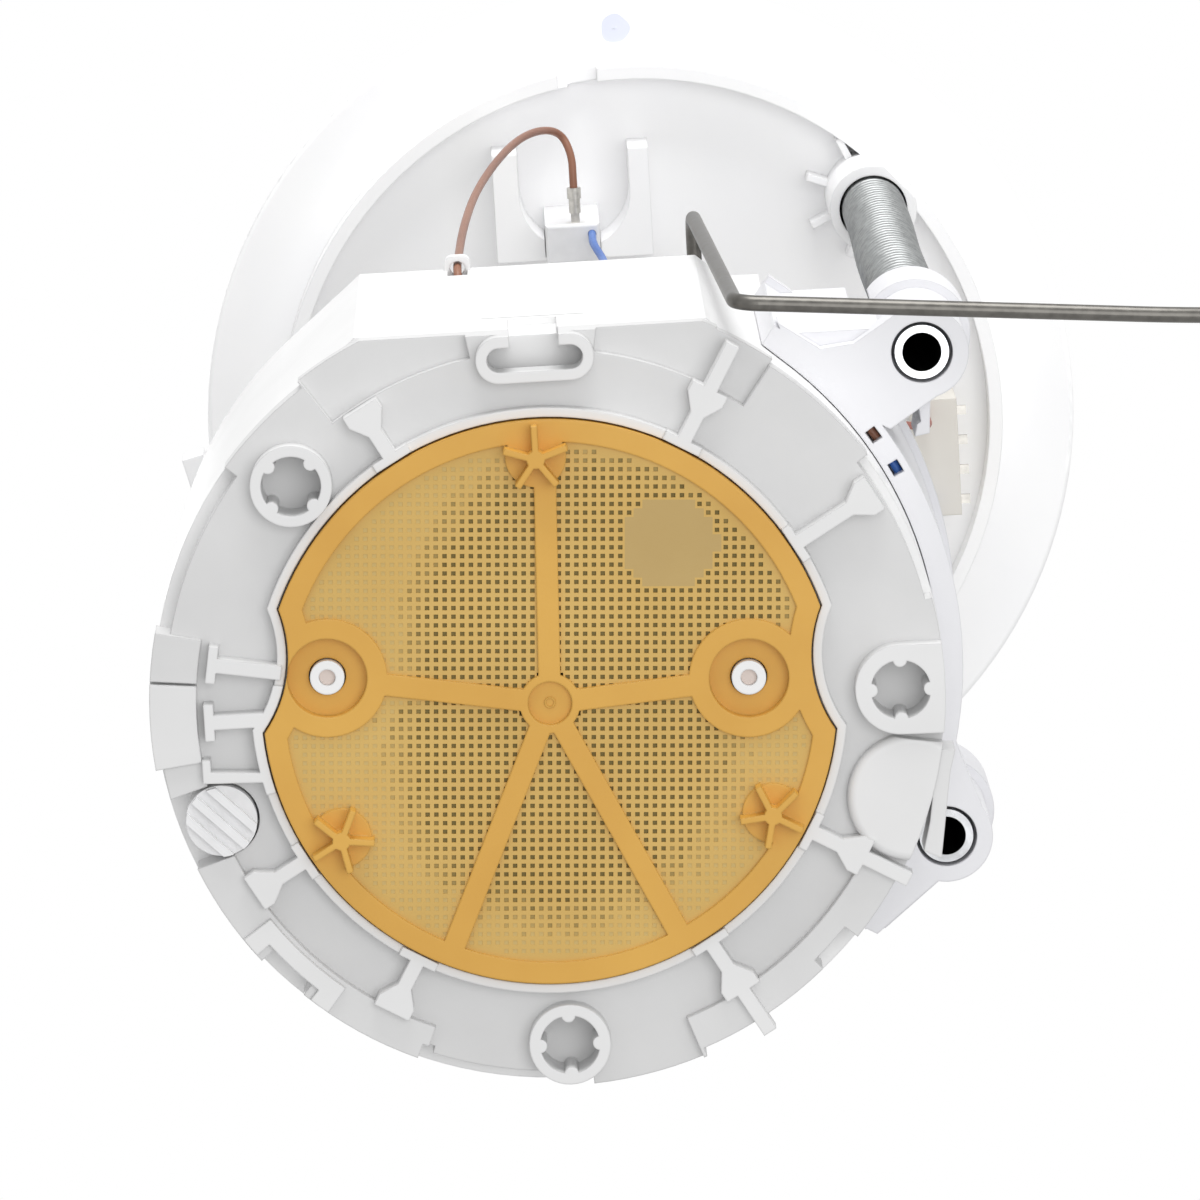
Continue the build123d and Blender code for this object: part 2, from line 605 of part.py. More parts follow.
# ------------------------------------------------------------------ guide carrier
def carrier_ear(rod_y_pos, outline, web):
    """Ear, boss and spring cup for one rod, joined to the carrier band."""
    ear = polygon(outline, CARRIER_Z, CARRIER_Z + EAR_T)
    for start, end, top in web:
        run = Vector(*end) - Vector(*start)
        angle = math.degrees(math.atan2(run.Y, run.X))
        wall = block(0, run.length, 0, WEB_T, CARRIER_Z + WEB_SET_BACK, top)
        ear += Pos(start[0], start[1], 0) * Rot(0, 0, angle) * wall
    ear += disc(BOSS_R, CARRIER_Z, BOSS_TOP, ROD_X, rod_y_pos)
    cup_top = BOSS_TOP + SPRING_CUP_H
    ear += disc(SPRING_CUP_R, BOSS_TOP, cup_top, ROD_X, rod_y_pos)
    return ear


def guide_carrier():
    inner = cup_outline(FIT)
    band = sector(40, CARRIER_R, CARRIER_START, CARRIER_END, CARRIER_Z, CUP_TOP)
    ear_1 = [(36.5, -50.0), (42.6, -45.7), (47.6, -46.2), (53.6, -50.0), (57.5, -51.0),
             (61.5, -39.0), (52.3, -33.2), (40.0, -40.0)]
    web_1 = (((36.9, -47.8), (52.6, -47.8), CUP_TOP),)
    ear_2 = [(59.5, 14.0), (63.0, 24.0), (61.0, 34.0), (56.6, 34.6), (46.5, 42.6), (42.0, 40.0),
             (54.0, 20.0)]
    web_2 = (((46.3, 40.6), (56.0, 32.8), CUP_TOP - 12),)
    band += carrier_ear(ROD_YS[0], ear_1, web_1)
    band += carrier_ear(ROD_YS[1], ear_2, web_2)
    # Horizontal stiffening rib around the band.
    band += sector(58, CARRIER_R + 1.2, CARRIER_START, CARRIER_END, CUP_TOP - 2.4, CUP_TOP)
    band -= slab(inner, CARRIER_Z - 1, CUP_TOP + 1)
    spring_r = SPRING_R + SPRING_WIRE_R + SPRING_GAP
    for y in ROD_YS:
        band -= disc(ROD_R + BOSS_CLEARANCE, CARRIER_Z, CUP_TOP, ROD_X, y)
        band -= disc(BOSS_RELIEF_R, CARRIER_Z, CARRIER_Z + BOSS_RELIEF_H, ROD_X, y)
        band -= disc(spring_r, SPRING_SEAT_Z, CUP_TOP + 1, ROD_X, y)
    # The first spring cup is open on the reservoir's side.
    band -= block(ROD_X - SPRING_CUP_R - 1, ROD_X - 4.4, ROD_YS[0] - 5, ROD_YS[0] + 5,
                  SPRING_SEAT_Z, CUP_TOP + 1)
    mid = (CUP_R + FIT + CARRIER_R) / 2 - 0.1
    channel = sector(mid - CHANNEL_W / 2, mid + CHANNEL_W / 2, CARRIER_START + 2, 2,
                     CHANNEL_Z, CHANNEL_Z + CHANNEL_H)
    band -= channel
    for angle in WINDOWS:
        band -= sector(mid - CHANNEL_W / 2, mid + CHANNEL_W / 2, angle - WINDOW_ARC / 2,
                       angle + WINDOW_ARC / 2, CARRIER_Z, CHANNEL_Z)
    # Small hooked bracket between the ear and the band.
    hook = polygon([(56.6, -37.6), (58.6, -37.2), (58.2, -31.6), (56.0, -31.2), (56.4, -33.0),
                    (57.0, -33.4)], CARRIER_Z + 4, CARRIER_Z + 16)
    return band + hook


def channel_lead(start, end):
    """Lead that lies in the carrier's channel, seen through a window in its underside."""
    mid = (CUP_R + FIT + CARRIER_R) / 2 - 0.1
    z = CHANNEL_Z + LEAD_R + 0.15
    arc = CenterArc((0, 0), mid, start, end - start)
    path = Pos(0, 0, z) * arc
    return sweep(Plane(path @ 0, z_dir=path % 0) * Circle(LEAD_R), path)


# ------------------------------------------------------------------ rods and springs
def guide_rod(y):
    shoulder = CARRIER_Z + BOSS_RELIEF_H
    top = DECK_Z + ROD_GRIP
    rod = tube(ROD_R, ROD_BORE_R, ROD_LOW, top, ROD_X, y)
    bead_top = shoulder - STOP_GAP
    bead = tube(BEAD_R, ROD_BORE_R, bead_top - BEAD_H, bead_top, ROD_X, y)
    edges = bead.edges().filter_by(GeomType.CIRCLE).group_by(SortBy.RADIUS)[-1]
    return rod + fillet(edges, 0.4)


def guide_spring(y):
    low = SPRING_SEAT_Z + SPRING_WIRE_R
    high = DECK_Z - SPRING_WIRE_R
    path = Helix(pitch=(high - low) / SPRING_TURNS, height=high - low, radius=SPRING_R)
    wire = sweep(Plane(path @ 0, z_dir=path % 0) * Circle(SPRING_WIRE_R), path, is_frenet=True)
    return Pos(ROD_X, y, low) * wire


# ------------------------------------------------------------------ pump
def at_pump(shape):
    return Pos(PUMP_X, PUMP_Y, 0) * shape


def pump_levels():
    """Heights inside the pump: chamber floor, chamber roof, armature bottom, cap underside."""
    chamber = PUMP_Z + INLET_CAP_H
    roof = chamber + IMPELLER_T + 2 * ROTOR_GAP
    armature = roof + CHAMBER_PLATE_T + 2.0
    cap = PUMP_TOP - OUTLET_CAP_H
    return chamber, roof, armature, cap


def pump_seat():
    """Rubber ring under the pump."""
    ring = tube(PUMP_R + 0.8, SEAT_RING_IN_R, FLOOR_TOP, PUMP_Z + 3)
    ring -= disc(PUMP_R + 0.02, PUMP_Z, PUMP_Z + 3)
    for k in range(6):
        ring -= bar(SEAT_RING_IN_R - 1, PUMP_R + 2, 60 * k, 3.0, FLOOR_TOP, FLOOR_TOP + 2)
    return at_pump(ring)


def pump_shell():
    return at_pump(tube(PUMP_R, PUMP_R - PUMP_SHELL_T, PUMP_Z, PUMP_TOP))


def pump_inlet_cap():
    chamber, roof, _, _ = pump_levels()
    inside = PUMP_R - PUMP_SHELL_T - 0.02
    cap = disc(inside, PUMP_Z, chamber)
    cap += tube(inside, IMPELLER_R + ROTOR_GAP, chamber, roof)
    cap -= disc(SHAFT_R + SHAFT_CLEARANCE, PUMP_Z + 3, chamber)
    cap -= Pos(11.5, 0, PUMP_Z) * Cylinder(2.4, INLET_CAP_H, align=BASE_ALIGN)
    return at_pump(cap)


def pump_chamber_plate():
    _, roof, _, _ = pump_levels()
    plate = tube(PUMP_R - PUMP_SHELL_T - 0.02, SHAFT_R + SHAFT_CLEARANCE, roof,
                 roof + CHAMBER_PLATE_T)
    return at_pump(plate - disc(2.0, roof, roof + CHAMBER_PLATE_T, -11.5, 0))


def pump_impeller():
    chamber, _, _, _ = pump_levels()
    low = chamber + ROTOR_GAP
    wheel = disc(IMPELLER_R, low, low + IMPELLER_T)
    for k in range(IMPELLER_VANES):
        wheel -= bar(IMPELLER_R - 3.2, IMPELLER_R - 0.8, 360 * k / IMPELLER_VANES, 1.5, low,
                     low + IMPELLER_T)
    return at_pump(wheel - disc(SHAFT_R, low, low + IMPELLER_T))


def pump_armature():
    """Wound core, commutator and shaft, one rotating piece."""
    chamber, _, low, cap = pump_levels()
    core = disc(ARMATURE_R, low, low + ARMATURE_H)
    for k in range(8):
        core -= bar(ARMATURE_R - 2.2, ARMATURE_R + 1, 45 * k, 1.6, low, low + ARMATURE_H)
    core += disc(COMMUTATOR_R, low + ARMATURE_H, cap - 1.0)
    core += disc(SHAFT_R, chamber - 2.0, cap + 3.0)
    return at_pump(core)


def pump_magnets():
    _, _, low, _ = pump_levels()
    outer = PUMP_R - PUMP_SHELL_T - 0.02
    pair = [sector(MAGNET_IN_R, outer, turn - MAGNET_ARC / 2, turn + MAGNET_ARC / 2, low,
                   low + ARMATURE_H) for turn in (0, 180)]
    return at_pump(pair[0] + pair[1])


def pump_outlet_cap():
    _, _, low, under = pump_levels()
    inside = PUMP_R - PUMP_SHELL_T - 0.02
    cap = disc(inside, under, PUMP_TOP) + disc(inside - 1.5, PUMP_TOP, PUMP_TOP + CAP_RISE)
    cap += disc(PUMP_NIPPLE_R, PUMP_TOP, FILTER_TOP + 2.0, PUMP_NIPPLE_X, PUMP_NIPPLE_Y)
    cap -= disc(PUMP_NIPPLE_BORE_R, under, FILTER_TOP + 2.0, PUMP_NIPPLE_X, PUMP_NIPPLE_Y)
    cap -= disc(SHAFT_R + SHAFT_CLEARANCE, under, under + 3.4)
    # Two brush holders reach down beside the commutator.
    for side in (-1, 1):
        x = side * (COMMUTATOR_R + ROTOR_GAP + 1.5)
        cap += block(x - 1.5, x + 1.5, -2.2, 2.2, low + ARMATURE_H + 0.6, under)
    for side in (-1, 1):
        cap -= pump_tab_box(side)
    return at_pump(cap)


def pump_tab_box(side):
    x = side * PUMP_TAB_X
    return block(x - 1.6, x + 1.6, PUMP_TAB_Y - 0.4, PUMP_TAB_Y + 0.4, PUMP_TOP - 3,
                 PUMP_TOP + CAP_RISE + 6)


def pump_tabs():
    """Two blade terminals standing in the outlet cap."""
    return at_pump(pump_tab_box(-1) + pump_tab_box(1))


def pump_plug():
    """Connector pushed on the pump's blades."""
    low = PUMP_TOP + CAP_RISE
    body = block(-8, 8, PUMP_TAB_Y - 3.4, PUMP_TAB_Y + 3.4, low, low + 9.0)
    body = fillet(body.edges().filter_by(Axis.Z), 1.2)
    body += block(-2.5, 2.5, PUMP_TAB_Y - 4.6, PUMP_TAB_Y - 3.4, low + 1, low + 7)
    for side in (-1, 1):
        body -= pump_tab_box(side)
        body -= disc(LEAD_R + 0.05, low + 6.5, low + 9.0, side * PUMP_TAB_X, PUMP_TAB_Y)
    return at_pump(body)


# ------------------------------------------------------------------ fuel filter
def filter_case():
    low = FLOOR_TOP
    case = tube(FILTER_R, FILTER_IN_R, low, FILTER_TOP)
    case -= tube(FILTER_R - FILTER_WALL, FILTER_IN_R + FILTER_WALL, low + 2.0, FILTER_TOP)
    return at_pump(case)


def filter_element():
    """Pleated paper: a star-shaped ring between two end bands."""
    low, high = FLOOR_TOP + 2.0, FILTER_TOP
    inner, outer = [], []
    for k in range(PLEATS):
        angle = 360 * k / PLEATS
        half = 180 / PLEATS
        outer += [polar(PLEAT_OUT_R, angle), polar(PLEAT_IN_R + PLEAT_T, angle + half)]
        inner += [polar(PLEAT_OUT_R - PLEAT_T * 4, angle), polar(PLEAT_IN_R, angle + half)]
    star = make_face(Polyline(*outer, close=True)) - make_face(Polyline(*inner, close=True))
    return at_pump(slab(star, low, high))


def filter_lid():
    low, high = FILTER_TOP, LID_TOP
    lid = disc(FILTER_R, low, high)
    lid -= disc(FILTER_IN_R - 3, low, low + 1.6)
    lid += disc(REGULATOR_R + 2, high, high + 3, REGULATOR_X - PUMP_X, REGULATOR_Y - PUMP_Y)
    lid -= disc(REGULATOR_R, high - 2, high + 3, REGULATOR_X - PUMP_X, REGULATOR_Y - PUMP_Y)
    lid -= block(-9, 9, PUMP_TAB_Y - 5.4, PUMP_TAB_Y + 4.2, low, high)
    lid -= disc(PUMP_NIPPLE_R + 0.05, low, low + 2.4, PUMP_NIPPLE_X, PUMP_NIPPLE_Y)
    hx, hy = HOSE_X - PUMP_X, HOSE_Y - PUMP_Y
    lid += disc(BARB_R + 1.6, high, HOSE_LOW_Z, hx, hy)
    lid += disc(BARB_R, high, HOSE_LOW_Z + 12, hx, hy)
    for level in (HOSE_LOW_Z + 3, HOSE_LOW_Z + 7):
        barb = Cone(BARB_R, BARB_R - 0.6, 2.0, align=BASE_ALIGN)
        lid += Pos(hx, hy, level) * barb
    lid -= disc(BARB_BORE_R, low, HOSE_LOW_Z + 12, hx, hy)
    return at_pump(lid)


def pressure_regulator():
    low = LID_TOP - 2
    can = disc(REGULATOR_R - 0.02, low, low + REGULATOR_H, REGULATOR_X, REGULATOR_Y)
    can = fillet(can.edges().group_by(Axis.Z)[-1], 1.2)
    can += tube(REGULATOR_R + 0.6, REGULATOR_R - 1, low + REGULATOR_H * 0.6,
                low + REGULATOR_H * 0.6 + 1.2, REGULATOR_X, REGULATOR_Y)
    return can + disc(2.0, low + REGULATOR_H, low + REGULATOR_H + 3, REGULATOR_X, REGULATOR_Y)


# ------------------------------------------------------------------ flange
def rod_gussets(y):
    """Small radial ribs around a spring socket."""
    ribs = None
    for k in range(8):
        rib = bar(SOCKET_R - 0.5, SOCKET_R + 3.6, 45 * k + 20, 1.2, DECK_Z - 5, DECK_Z)
        rib = Pos(ROD_X, y, 0) * rib
        ribs = rib if ribs is None else ribs + rib
    return ribs


def pin_ys():
    middle = (BLOCK_Y0 + BLOCK_Y1) / 2
    return [middle + (k - (PIN_COUNT - 1) / 2) * PIN_PITCH for k in range(PIN_COUNT)]


def pin_box(y):
    x = (BLOCK_X0 + BLOCK_X1) / 2
    low = DECK_Z - BLOCK_H + 2
    pin = block(x - PIN_T / 2, x + PIN_T / 2, y - PIN_W / 2, y + PIN_W / 2, low,
                RIM_TOP + PIN_TOP)
    return pin + block(x - PIN_T / 2, BLOCK_X1 + PIN_TAIL, y - PIN_W / 2, y + PIN_W / 2, low,
                       low + PIN_T)


def saddle_wall():
    """U-shaped pocket wall around the lead block, open towards the edge."""
    low = DECK_Z - 13
    wall = block(-5.0, 21.0, -55.6, -37.6, low, DECK_Z)
    mid_x = 8.4
    gap = Pos(mid_x, -48.5) * Circle(9.2) + Pos(mid_x, -60) * Rectangle(18.4, 23)
    wall -= slab(gap, low, DECK_Z)
    return wall - block(LEAD_BLOCK_X0 - FIT, LEAD_BLOCK_X1 + FIT, -60, LEAD_BLOCK_Y1 + FIT, low, DECK_Z)


def top_flange():
    centre = Pos(FLANGE_X, FLANGE_Y, 0)
    body = disc(RIM_R, SEAT_Z, RIM_TOP)
    body += disc(SPIGOT_R, DECK_Z, SEAT_Z)
    body += tube(SPIGOT_R, SPIGOT_R - SPIGOT_WALL, SEAT_Z - SPIGOT_H, SEAT_Z)
    body = fillet(body.edges().filter_by(GeomType.CIRCLE).group_by(SortBy.RADIUS)[-1], 0.8)
    # Upper side: ring rib, radial ribs and a low centre boss.
    body += tube(49.6, 48.0, RIM_TOP, RIM_TOP + 3)
    body += tube(25.6, 24.0, RIM_TOP, RIM_TOP + 3)
    for k in range(8):
        body += bar(25, 49, 45 * k + 12, 1.6, RIM_TOP, RIM_TOP + 3)
    body = centre * body
    # Locating lug at the rim and a small notch in the spigot.
    lug = Pos(-57.6, -3.4, 0) * Rot(0, 0, -14) * block(-1.7, 1.9, -2.9, 2.9, SEAT_Z - 4, RIM_TOP)
    body += lug - disc(RIM_R + 0.2, 0, SEAT_Z, FLANGE_X, FLANGE_Y)
    body += block(-57.0, -50.0, -5.4, -1.4, SEAT_Z, RIM_TOP)
    body -= Pos(10.0, -67.6, 0) * block(-3.3, 3.3, -2, 2, SEAT_Z - SPIGOT_H, SEAT_Z - 4.5)
    for y in ROD_YS:
        spring_r = SPRING_R + SPRING_WIRE_R + SPRING_GAP
        # A flat on the socket's outer side keeps it within the spigot.
        socket = disc(SOCKET_R, DECK_Z - SOCKET_H, DECK_Z, ROD_X, y)
        outward = math.degrees(math.atan2(y - FLANGE_Y, ROD_X - FLANGE_X))
        within = block(0, SPIGOT_R - SOCKET_FLAT, -SOCKET_R - 1, SOCKET_R + 1, 0, SEAT_Z)
        body += socket & (Pos(FLANGE_X, FLANGE_Y, 0) * Rot(0, 0, outward) * within)
        body += rod_gussets(y) & disc(SPIGOT_R - 0.5, 0, 300, FLANGE_X, FLANGE_Y)
        body -= disc(spring_r, DECK_Z - SOCKET_H, DECK_Z, ROD_X, y)
        body += disc(ROD_R + 3, RIM_TOP, RIM_TOP + 2, ROD_X, y)
        body -= disc(ROD_R + 0.02, DECK_Z, DECK_Z + ROD_GRIP, ROD_X, y)
    body += saddle_wall()
    shell = connector_box(SHELL_MARGIN + 1.2)
    body += slab(shell, RIM_TOP, RIM_TOP + 2)
    body += disc(BARB_R + 5, RIM_TOP, RIM_TOP + 4, OUTLET_X, OUTLET_Y)
    body -= disc(BARB_R + 1.7, DECK_Z, RIM_TOP + 4, OUTLET_X, OUTLET_Y)
    body -= slab(connector_box(SHELL_MARGIN), RIM_TOP, RIM_TOP + 3)
    for y in pin_ys():
        body -= pin_box(y)
    return body


def connector_box(grow):
    mid_x, mid_y = (BLOCK_X0 + BLOCK_X1) / 2 - 3.0, (BLOCK_Y0 + BLOCK_Y1) / 2
    width, depth = 8.0 + 2 * grow, (BLOCK_Y1 - BLOCK_Y0) + 2 * grow
    return Pos(mid_x, mid_y) * RectangleRounded(width, depth, 2.4)


def connector_shell():
    """Open box around the pins on the flange's upper side."""
    shell = slab(connector_box(SHELL_MARGIN), RIM_TOP, RIM_TOP + SHELL_H)
    shell -= slab(connector_box(SHELL_MARGIN - SHELL_WALL), RIM_TOP + 2.4, RIM_TOP + SHELL_H)
    mid_x, mid_y = (BLOCK_X0 + BLOCK_X1) / 2 - 3.0, (BLOCK_Y0 + BLOCK_Y1) / 2
    out = mid_x - 4.0 - SHELL_MARGIN
    shell += block(out - 1.6, out, mid_y - 3, mid_y + 3, RIM_TOP + 8, RIM_TOP + 11)
    for y in pin_ys():
        shell -= pin_box(y)
    return shell


def terminal_block():
    body = block(BLOCK_X0, BLOCK_X1, BLOCK_Y0, BLOCK_Y1, DECK_Z - BLOCK_H, DECK_Z)
    for y in pin_ys():
        body -= pin_box(y)
    for y in (pin_ys()[0], pin_ys()[-1]):
        body -= disc(LEAD_R + 0.05, DECK_Z - BLOCK_H, DECK_Z - BLOCK_H + 1.5, BLOCK_X0 + 2.0, y)
    return body


def connector_pins():
    pins = [pin_box(y) for y in pin_ys()]
    group = pins[0]
    for pin in pins[1:]:
        group += pin
    return group


def outlet_pipe():
    """Outlet through the flange: hose barb below, quick-connect pipe above."""
    stem_r = BARB_R + 1.6
    rise = RIM_TOP + SPIGOT_PIPE_RISE
    pipe = disc(stem_r, DECK_Z - 3, rise, OUTLET_X, OUTLET_Y)
    pipe += disc(BARB_R, DECK_Z - 22, DECK_Z, OUTLET_X, OUTLET_Y)
    for level in (DECK_Z - 20, DECK_Z - 16):
        barb = Cone(BARB_R - 0.6, BARB_R, 2.0, align=BASE_ALIGN)
        pipe += Pos(OUTLET_X, OUTLET_Y, level) * barb
    pipe += Pos(OUTLET_X, OUTLET_Y, rise) * Sphere(stem_r)
    flat_pipe = Pos(OUTLET_X, OUTLET_Y, rise) * Rot(0, -90, 0)
    pipe += flat_pipe * Cylinder(SPIGOT_PIPE_R, SPIGOT_PIPE_L + stem_r, align=BASE_ALIGN)
    bead_at = SPIGOT_PIPE_L + stem_r - PIPE_BEAD_BACK
    bead = Cylinder(PIPE_BEAD_R, PIPE_BEAD_W)
    pipe += flat_pipe * Pos(0, 0, bead_at) * bead
    pipe -= disc(BARB_BORE_R, DECK_Z - 22, rise, OUTLET_X, OUTLET_Y)
    pipe -= flat_pipe * Cylinder(SPIGOT_PIPE_BORE_R, SPIGOT_PIPE_L + stem_r, align=BASE_ALIGN)
    return pipe


HOSE_ROUTE = ((HOSE_X, HOSE_Y, HOSE_LOW_Z), (HOSE_X, HOSE_Y, 104), (OUTLET_X, OUTLET_Y, 168),
              (OUTLET_X, OUTLET_Y, HOSE_TOP_Z))


def outlet_hose():
    bends = bend_radii(HOSE_ROUTE)
    solid = lead(HOSE_ROUTE, HOSE_R, bends)
    return solid - lead(HOSE_ROUTE, HOSE_BORE_R, bends)


# ------------------------------------------------------------------ leads
def lead_block():
    """Natural nylon block under the deck that holds two lead terminals."""
    low = DECK_Z - LEAD_BLOCK_H
    body = block(LEAD_BLOCK_X0, LEAD_BLOCK_X1, LEAD_BLOCK_Y0, LEAD_BLOCK_Y1, low, DECK_Z)
    body = fillet(body.edges().group_by(Axis.Z)[0], 0.6)
    body -= crimp_blade()
    return body - disc(LEAD_R + 0.05, low, low + 3, BLUE_ROUTE[0][0], BLUE_ROUTE[0][1])


CRIMP_X, CRIMP_Z = 8.3, 184.0
CRIMP_L = 5.8


def crimp_blade():
    return block(CRIMP_X - 1.4, CRIMP_X + 1.4, LEAD_BLOCK_Y0, LEAD_BLOCK_Y0 + 4, CRIMP_Z - 0.4,
                 CRIMP_Z + 0.4)


def lead_terminal():
    """Tinned crimp at the end of the brown lead."""
    front = LEAD_BLOCK_Y0 - CRIMP_L
    barrel = rod_y(0.95, CRIMP_X, CRIMP_Z, front, LEAD_BLOCK_Y0 - 1.6)
    wings = rod_y(1.15, CRIMP_X, CRIMP_Z, front, front + 1.8)
    neck = block(CRIMP_X - 0.7, CRIMP_X + 0.7, LEAD_BLOCK_Y0 - 1.8, LEAD_BLOCK_Y0, CRIMP_Z - 0.4,
                 CRIMP_Z + 0.4)
    body = barrel + wings + neck + crimp_blade()
    return body - rod_y(LEAD_R + 0.02, CRIMP_X, CRIMP_Z, front, front + 2.4)


BROWN_ROUTE = (
    (-PUMP_TAB_X, -4.0, 66.8), (-PUMP_TAB_X, -4.0, 70.6), (-5.0, -16.0, 70.0),
    (-8.0, -32.0, 68.8), (LEAD_X, -47.0, 68.8), (LEAD_X, -54.1, 69.6), (LEAD_X, -54.1, 76.0),
    (-9.4, -56.3, 105.0), (-7.0, -58.4, 135.0),
    (-1.9, -60.5, 165.0), (3.4, -60.2, 179.0), (CRIMP_X, -55.4, CRIMP_Z),
    (CRIMP_X, LEAD_BLOCK_Y0 - CRIMP_L + 2.4, CRIMP_Z),
)
BLUE_ROUTE = (
    (10.9, -43.2, DECK_Z - LEAD_BLOCK_H + 3), (10.9, -43.2, 172.0), (12.6, -42.6, 152.0),
    (12.0, -45.2, 130.0), (14.4, POST_Y, 110.0), (14.4, POST_Y, COVER_TOP + SENDER_H - 3),
)
SUPPLY_ROUTE = (
    (BLOCK_X0 + 2.0, -9.0, DECK_Z - BLOCK_H + 1.5), (BLOCK_X0 + 2.0, -9.0, 176.0),
    (56.0, -14.0, 150.0), (40.0, -14.0, 122.0), (20.0, -12.0, 100.0), (6.0, -6.0, 86.0),
    (PUMP_TAB_X, -4.0, 75.0), (PUMP_TAB_X, -4.0, 66.8),
)
RETURN_ROUTE = (
    (BLOCK_X0 + 2.0, 6.0, DECK_Z - BLOCK_H + 1.5), (BLOCK_X0 + 2.0, 6.0, 176.0),
    (58.0, 10.0, 150.0), (46.0, 0.0, 128.0), (40.0, -24.0, 122.0),
    (37.6, POST_Y, 114.0), (37.6, POST_Y, COVER_TOP + SENDER_H - 3),
)


# ------------------------------------------------------------------ level sender
def sender_levels():
    low = COVER_TOP
    return low, low + SENDER_H


def sender_bracket():
    """Two plates on a foot; the arm's wire turns in both plates."""
    low, high = sender_levels()
    front = block(SENDER_X0 + 6, SENDER_X1 - 6, SENDER_FRONT_Y, SENDER_FRONT_Y + SENDER_PLATE,
                  low, high)
    back = block(SENDER_X0, SENDER_X1, SENDER_BACK_Y - SENDER_PLATE, SENDER_BACK_Y, low, high)
    foot = block(SENDER_X0, SENDER_X1, SENDER_FRONT_Y, SENDER_BACK_Y, low, low + 2.0)
    body = front + back + foot
    for x in (SENDER_X0, SENDER_X1 - 1.8):
        body += block(x, x + 1.8, SENDER_FRONT_Y + 3, SENDER_BACK_Y, low, high - 6)
    # Two pegs that the hub's lug meets at the ends of the arm's travel.
    step = math.degrees(math.asin((LUG_W / 2 + PEG_R + RUNNING_GAP) / PEG_AT_R))
    peg_back = SENDER_BACK_Y - SENDER_PLATE - CARD_T - 1.2
    for angle in (LUG_REST - step, LUG_REST + ARM_SWING + step):
        dx, dz = polar(PEG_AT_R, angle)
        body += rod_y(PEG_R, PIVOT_X + dx, PIVOT_Z + dz, SENDER_FRONT_Y + 1, peg_back)
    body -= rod_y(WIRE_R + WIRE_CLEARANCE, PIVOT_X, PIVOT_Z, SENDER_FRONT_Y - 1, SENDER_BACK_Y + 1)
    for x, y, _ in (BLUE_ROUTE[-1], RETURN_ROUTE[-1]):
        body += disc(1.8, high - 8, high, x, y)
        body -= disc(LEAD_R + RUNNING_GAP, high - 3, high, x, y)
    return body


def sender_card():
    """Ceramic resistor card on the back plate."""
    y = SENDER_BACK_Y - SENDER_PLATE
    return block(PIVOT_X - CARD_HALF_W, PIVOT_X + CARD_HALF_W, y - CARD_T, y,
                 PIVOT_Z - CARD_LOW, PIVOT_Z - CARD_HIGH)


def card_tracks():
    """Curved contact tracks printed on the card."""
    y = SENDER_BACK_Y - SENDER_PLATE - CARD_T
    tracks = None
    for radius in (WIPER_R - 3.2, WIPER_R - 0.4):
        arc = sector(radius - 0.6, radius + 0.6, WIPER_REST - 2, WIPER_REST + 77, 0, 0.05)
        tracks = arc if tracks is None else tracks + arc
    # Turn the drawing plane upright: its X stays X, its Y becomes Z.
    return Pos(PIVOT_X, y, PIVOT_Z) * Rot(90, 0, 0) * tracks


def sender_hub():
    """Hub pressed on the wire between the two plates."""
    front = SENDER_FRONT_Y + SENDER_PLATE + HUB_SIDE_GAP
    back = SENDER_BACK_Y - SENDER_PLATE - CARD_T - HUB_SIDE_GAP
    hub = rod_y(HUB_OUT_R, PIVOT_X, PIVOT_Z, front, back)
    lug = block(HUB_OUT_R - 1, PEG_AT_R + 1.0, -LUG_W / 2, LUG_W / 2, 0, back - front - 1.2)
    hub += Pos(PIVOT_X, back - 1.2, PIVOT_Z) * Rot(90, 0, 0) * Rot(0, 0, LUG_REST) * lug
    return hub - rod_y(WIRE_R, PIVOT_X, PIVOT_Z, front, back)


def sender_wiper():
    """Thin spring strip with two contacts that sweeps the card."""
    back = SENDER_BACK_Y - SENDER_PLATE - CARD_T - HUB_SIDE_GAP
    strip = block(HUB_OUT_R, WIPER_R + 1, -WIPER_W / 2, WIPER_W / 2, 0, WIPER_T)
    for radius in (WIPER_R - 3.2, WIPER_R - 0.4):
        strip += Pos(radius, 0, -0.2) * Cylinder(0.5, 0.2, align=BASE_ALIGN)
    turned = Rot(90, 0, 0) * Rot(0, 0, WIPER_REST) * strip
    return Pos(PIVOT_X, back + 0.02, PIVOT_Z) * turned


def float_arm_route():
    inner_y = SENDER_BACK_Y + 1.6
    half_t = FLOAT_T / 2
    end_y = FLOAT_ARM_Y + WIRE_R + FLOAT_SIDE_GAP + 2 * half_t + 2.6
    return ((PIVOT_X, inner_y, PIVOT_Z), (PIVOT_X, ARM_Y, PIVOT_Z), (ARM_FOOT_X, ARM_Y, ARM_FOOT_Z),
            (ARM_OUT_X, ARM_OUT_Y, ARM_FOOT_Z), (FLOAT_X, FLOAT_ARM_Y, FLOAT_Z),
            (FLOAT_X, end_y, FLOAT_Z))


def float_arm():
    return lead(float_arm_route(), WIRE_R, [BEND_R, BEND_R, 60.0, BEND_R])


def float_front():
    return FLOAT_ARM_Y + WIRE_R + FLOAT_SIDE_GAP


def arm_float():
    front = float_front()
    body = Pos(FLOAT_X, front + FLOAT_T / 2, FLOAT_Z) * Box(FLOAT_L, FLOAT_T, FLOAT_H)
    body = fillet(body.edges().filter_by(Axis.Y), 6.0)
    body = fillet(body.edges().group_by(Axis.Y)[0] + body.edges().group_by(Axis.Y)[-1], 1.4)
    return body - rod_y(WIRE_R + WIRE_CLEARANCE, FLOAT_X, FLOAT_Z, front - 1, front + FLOAT_T + 1)


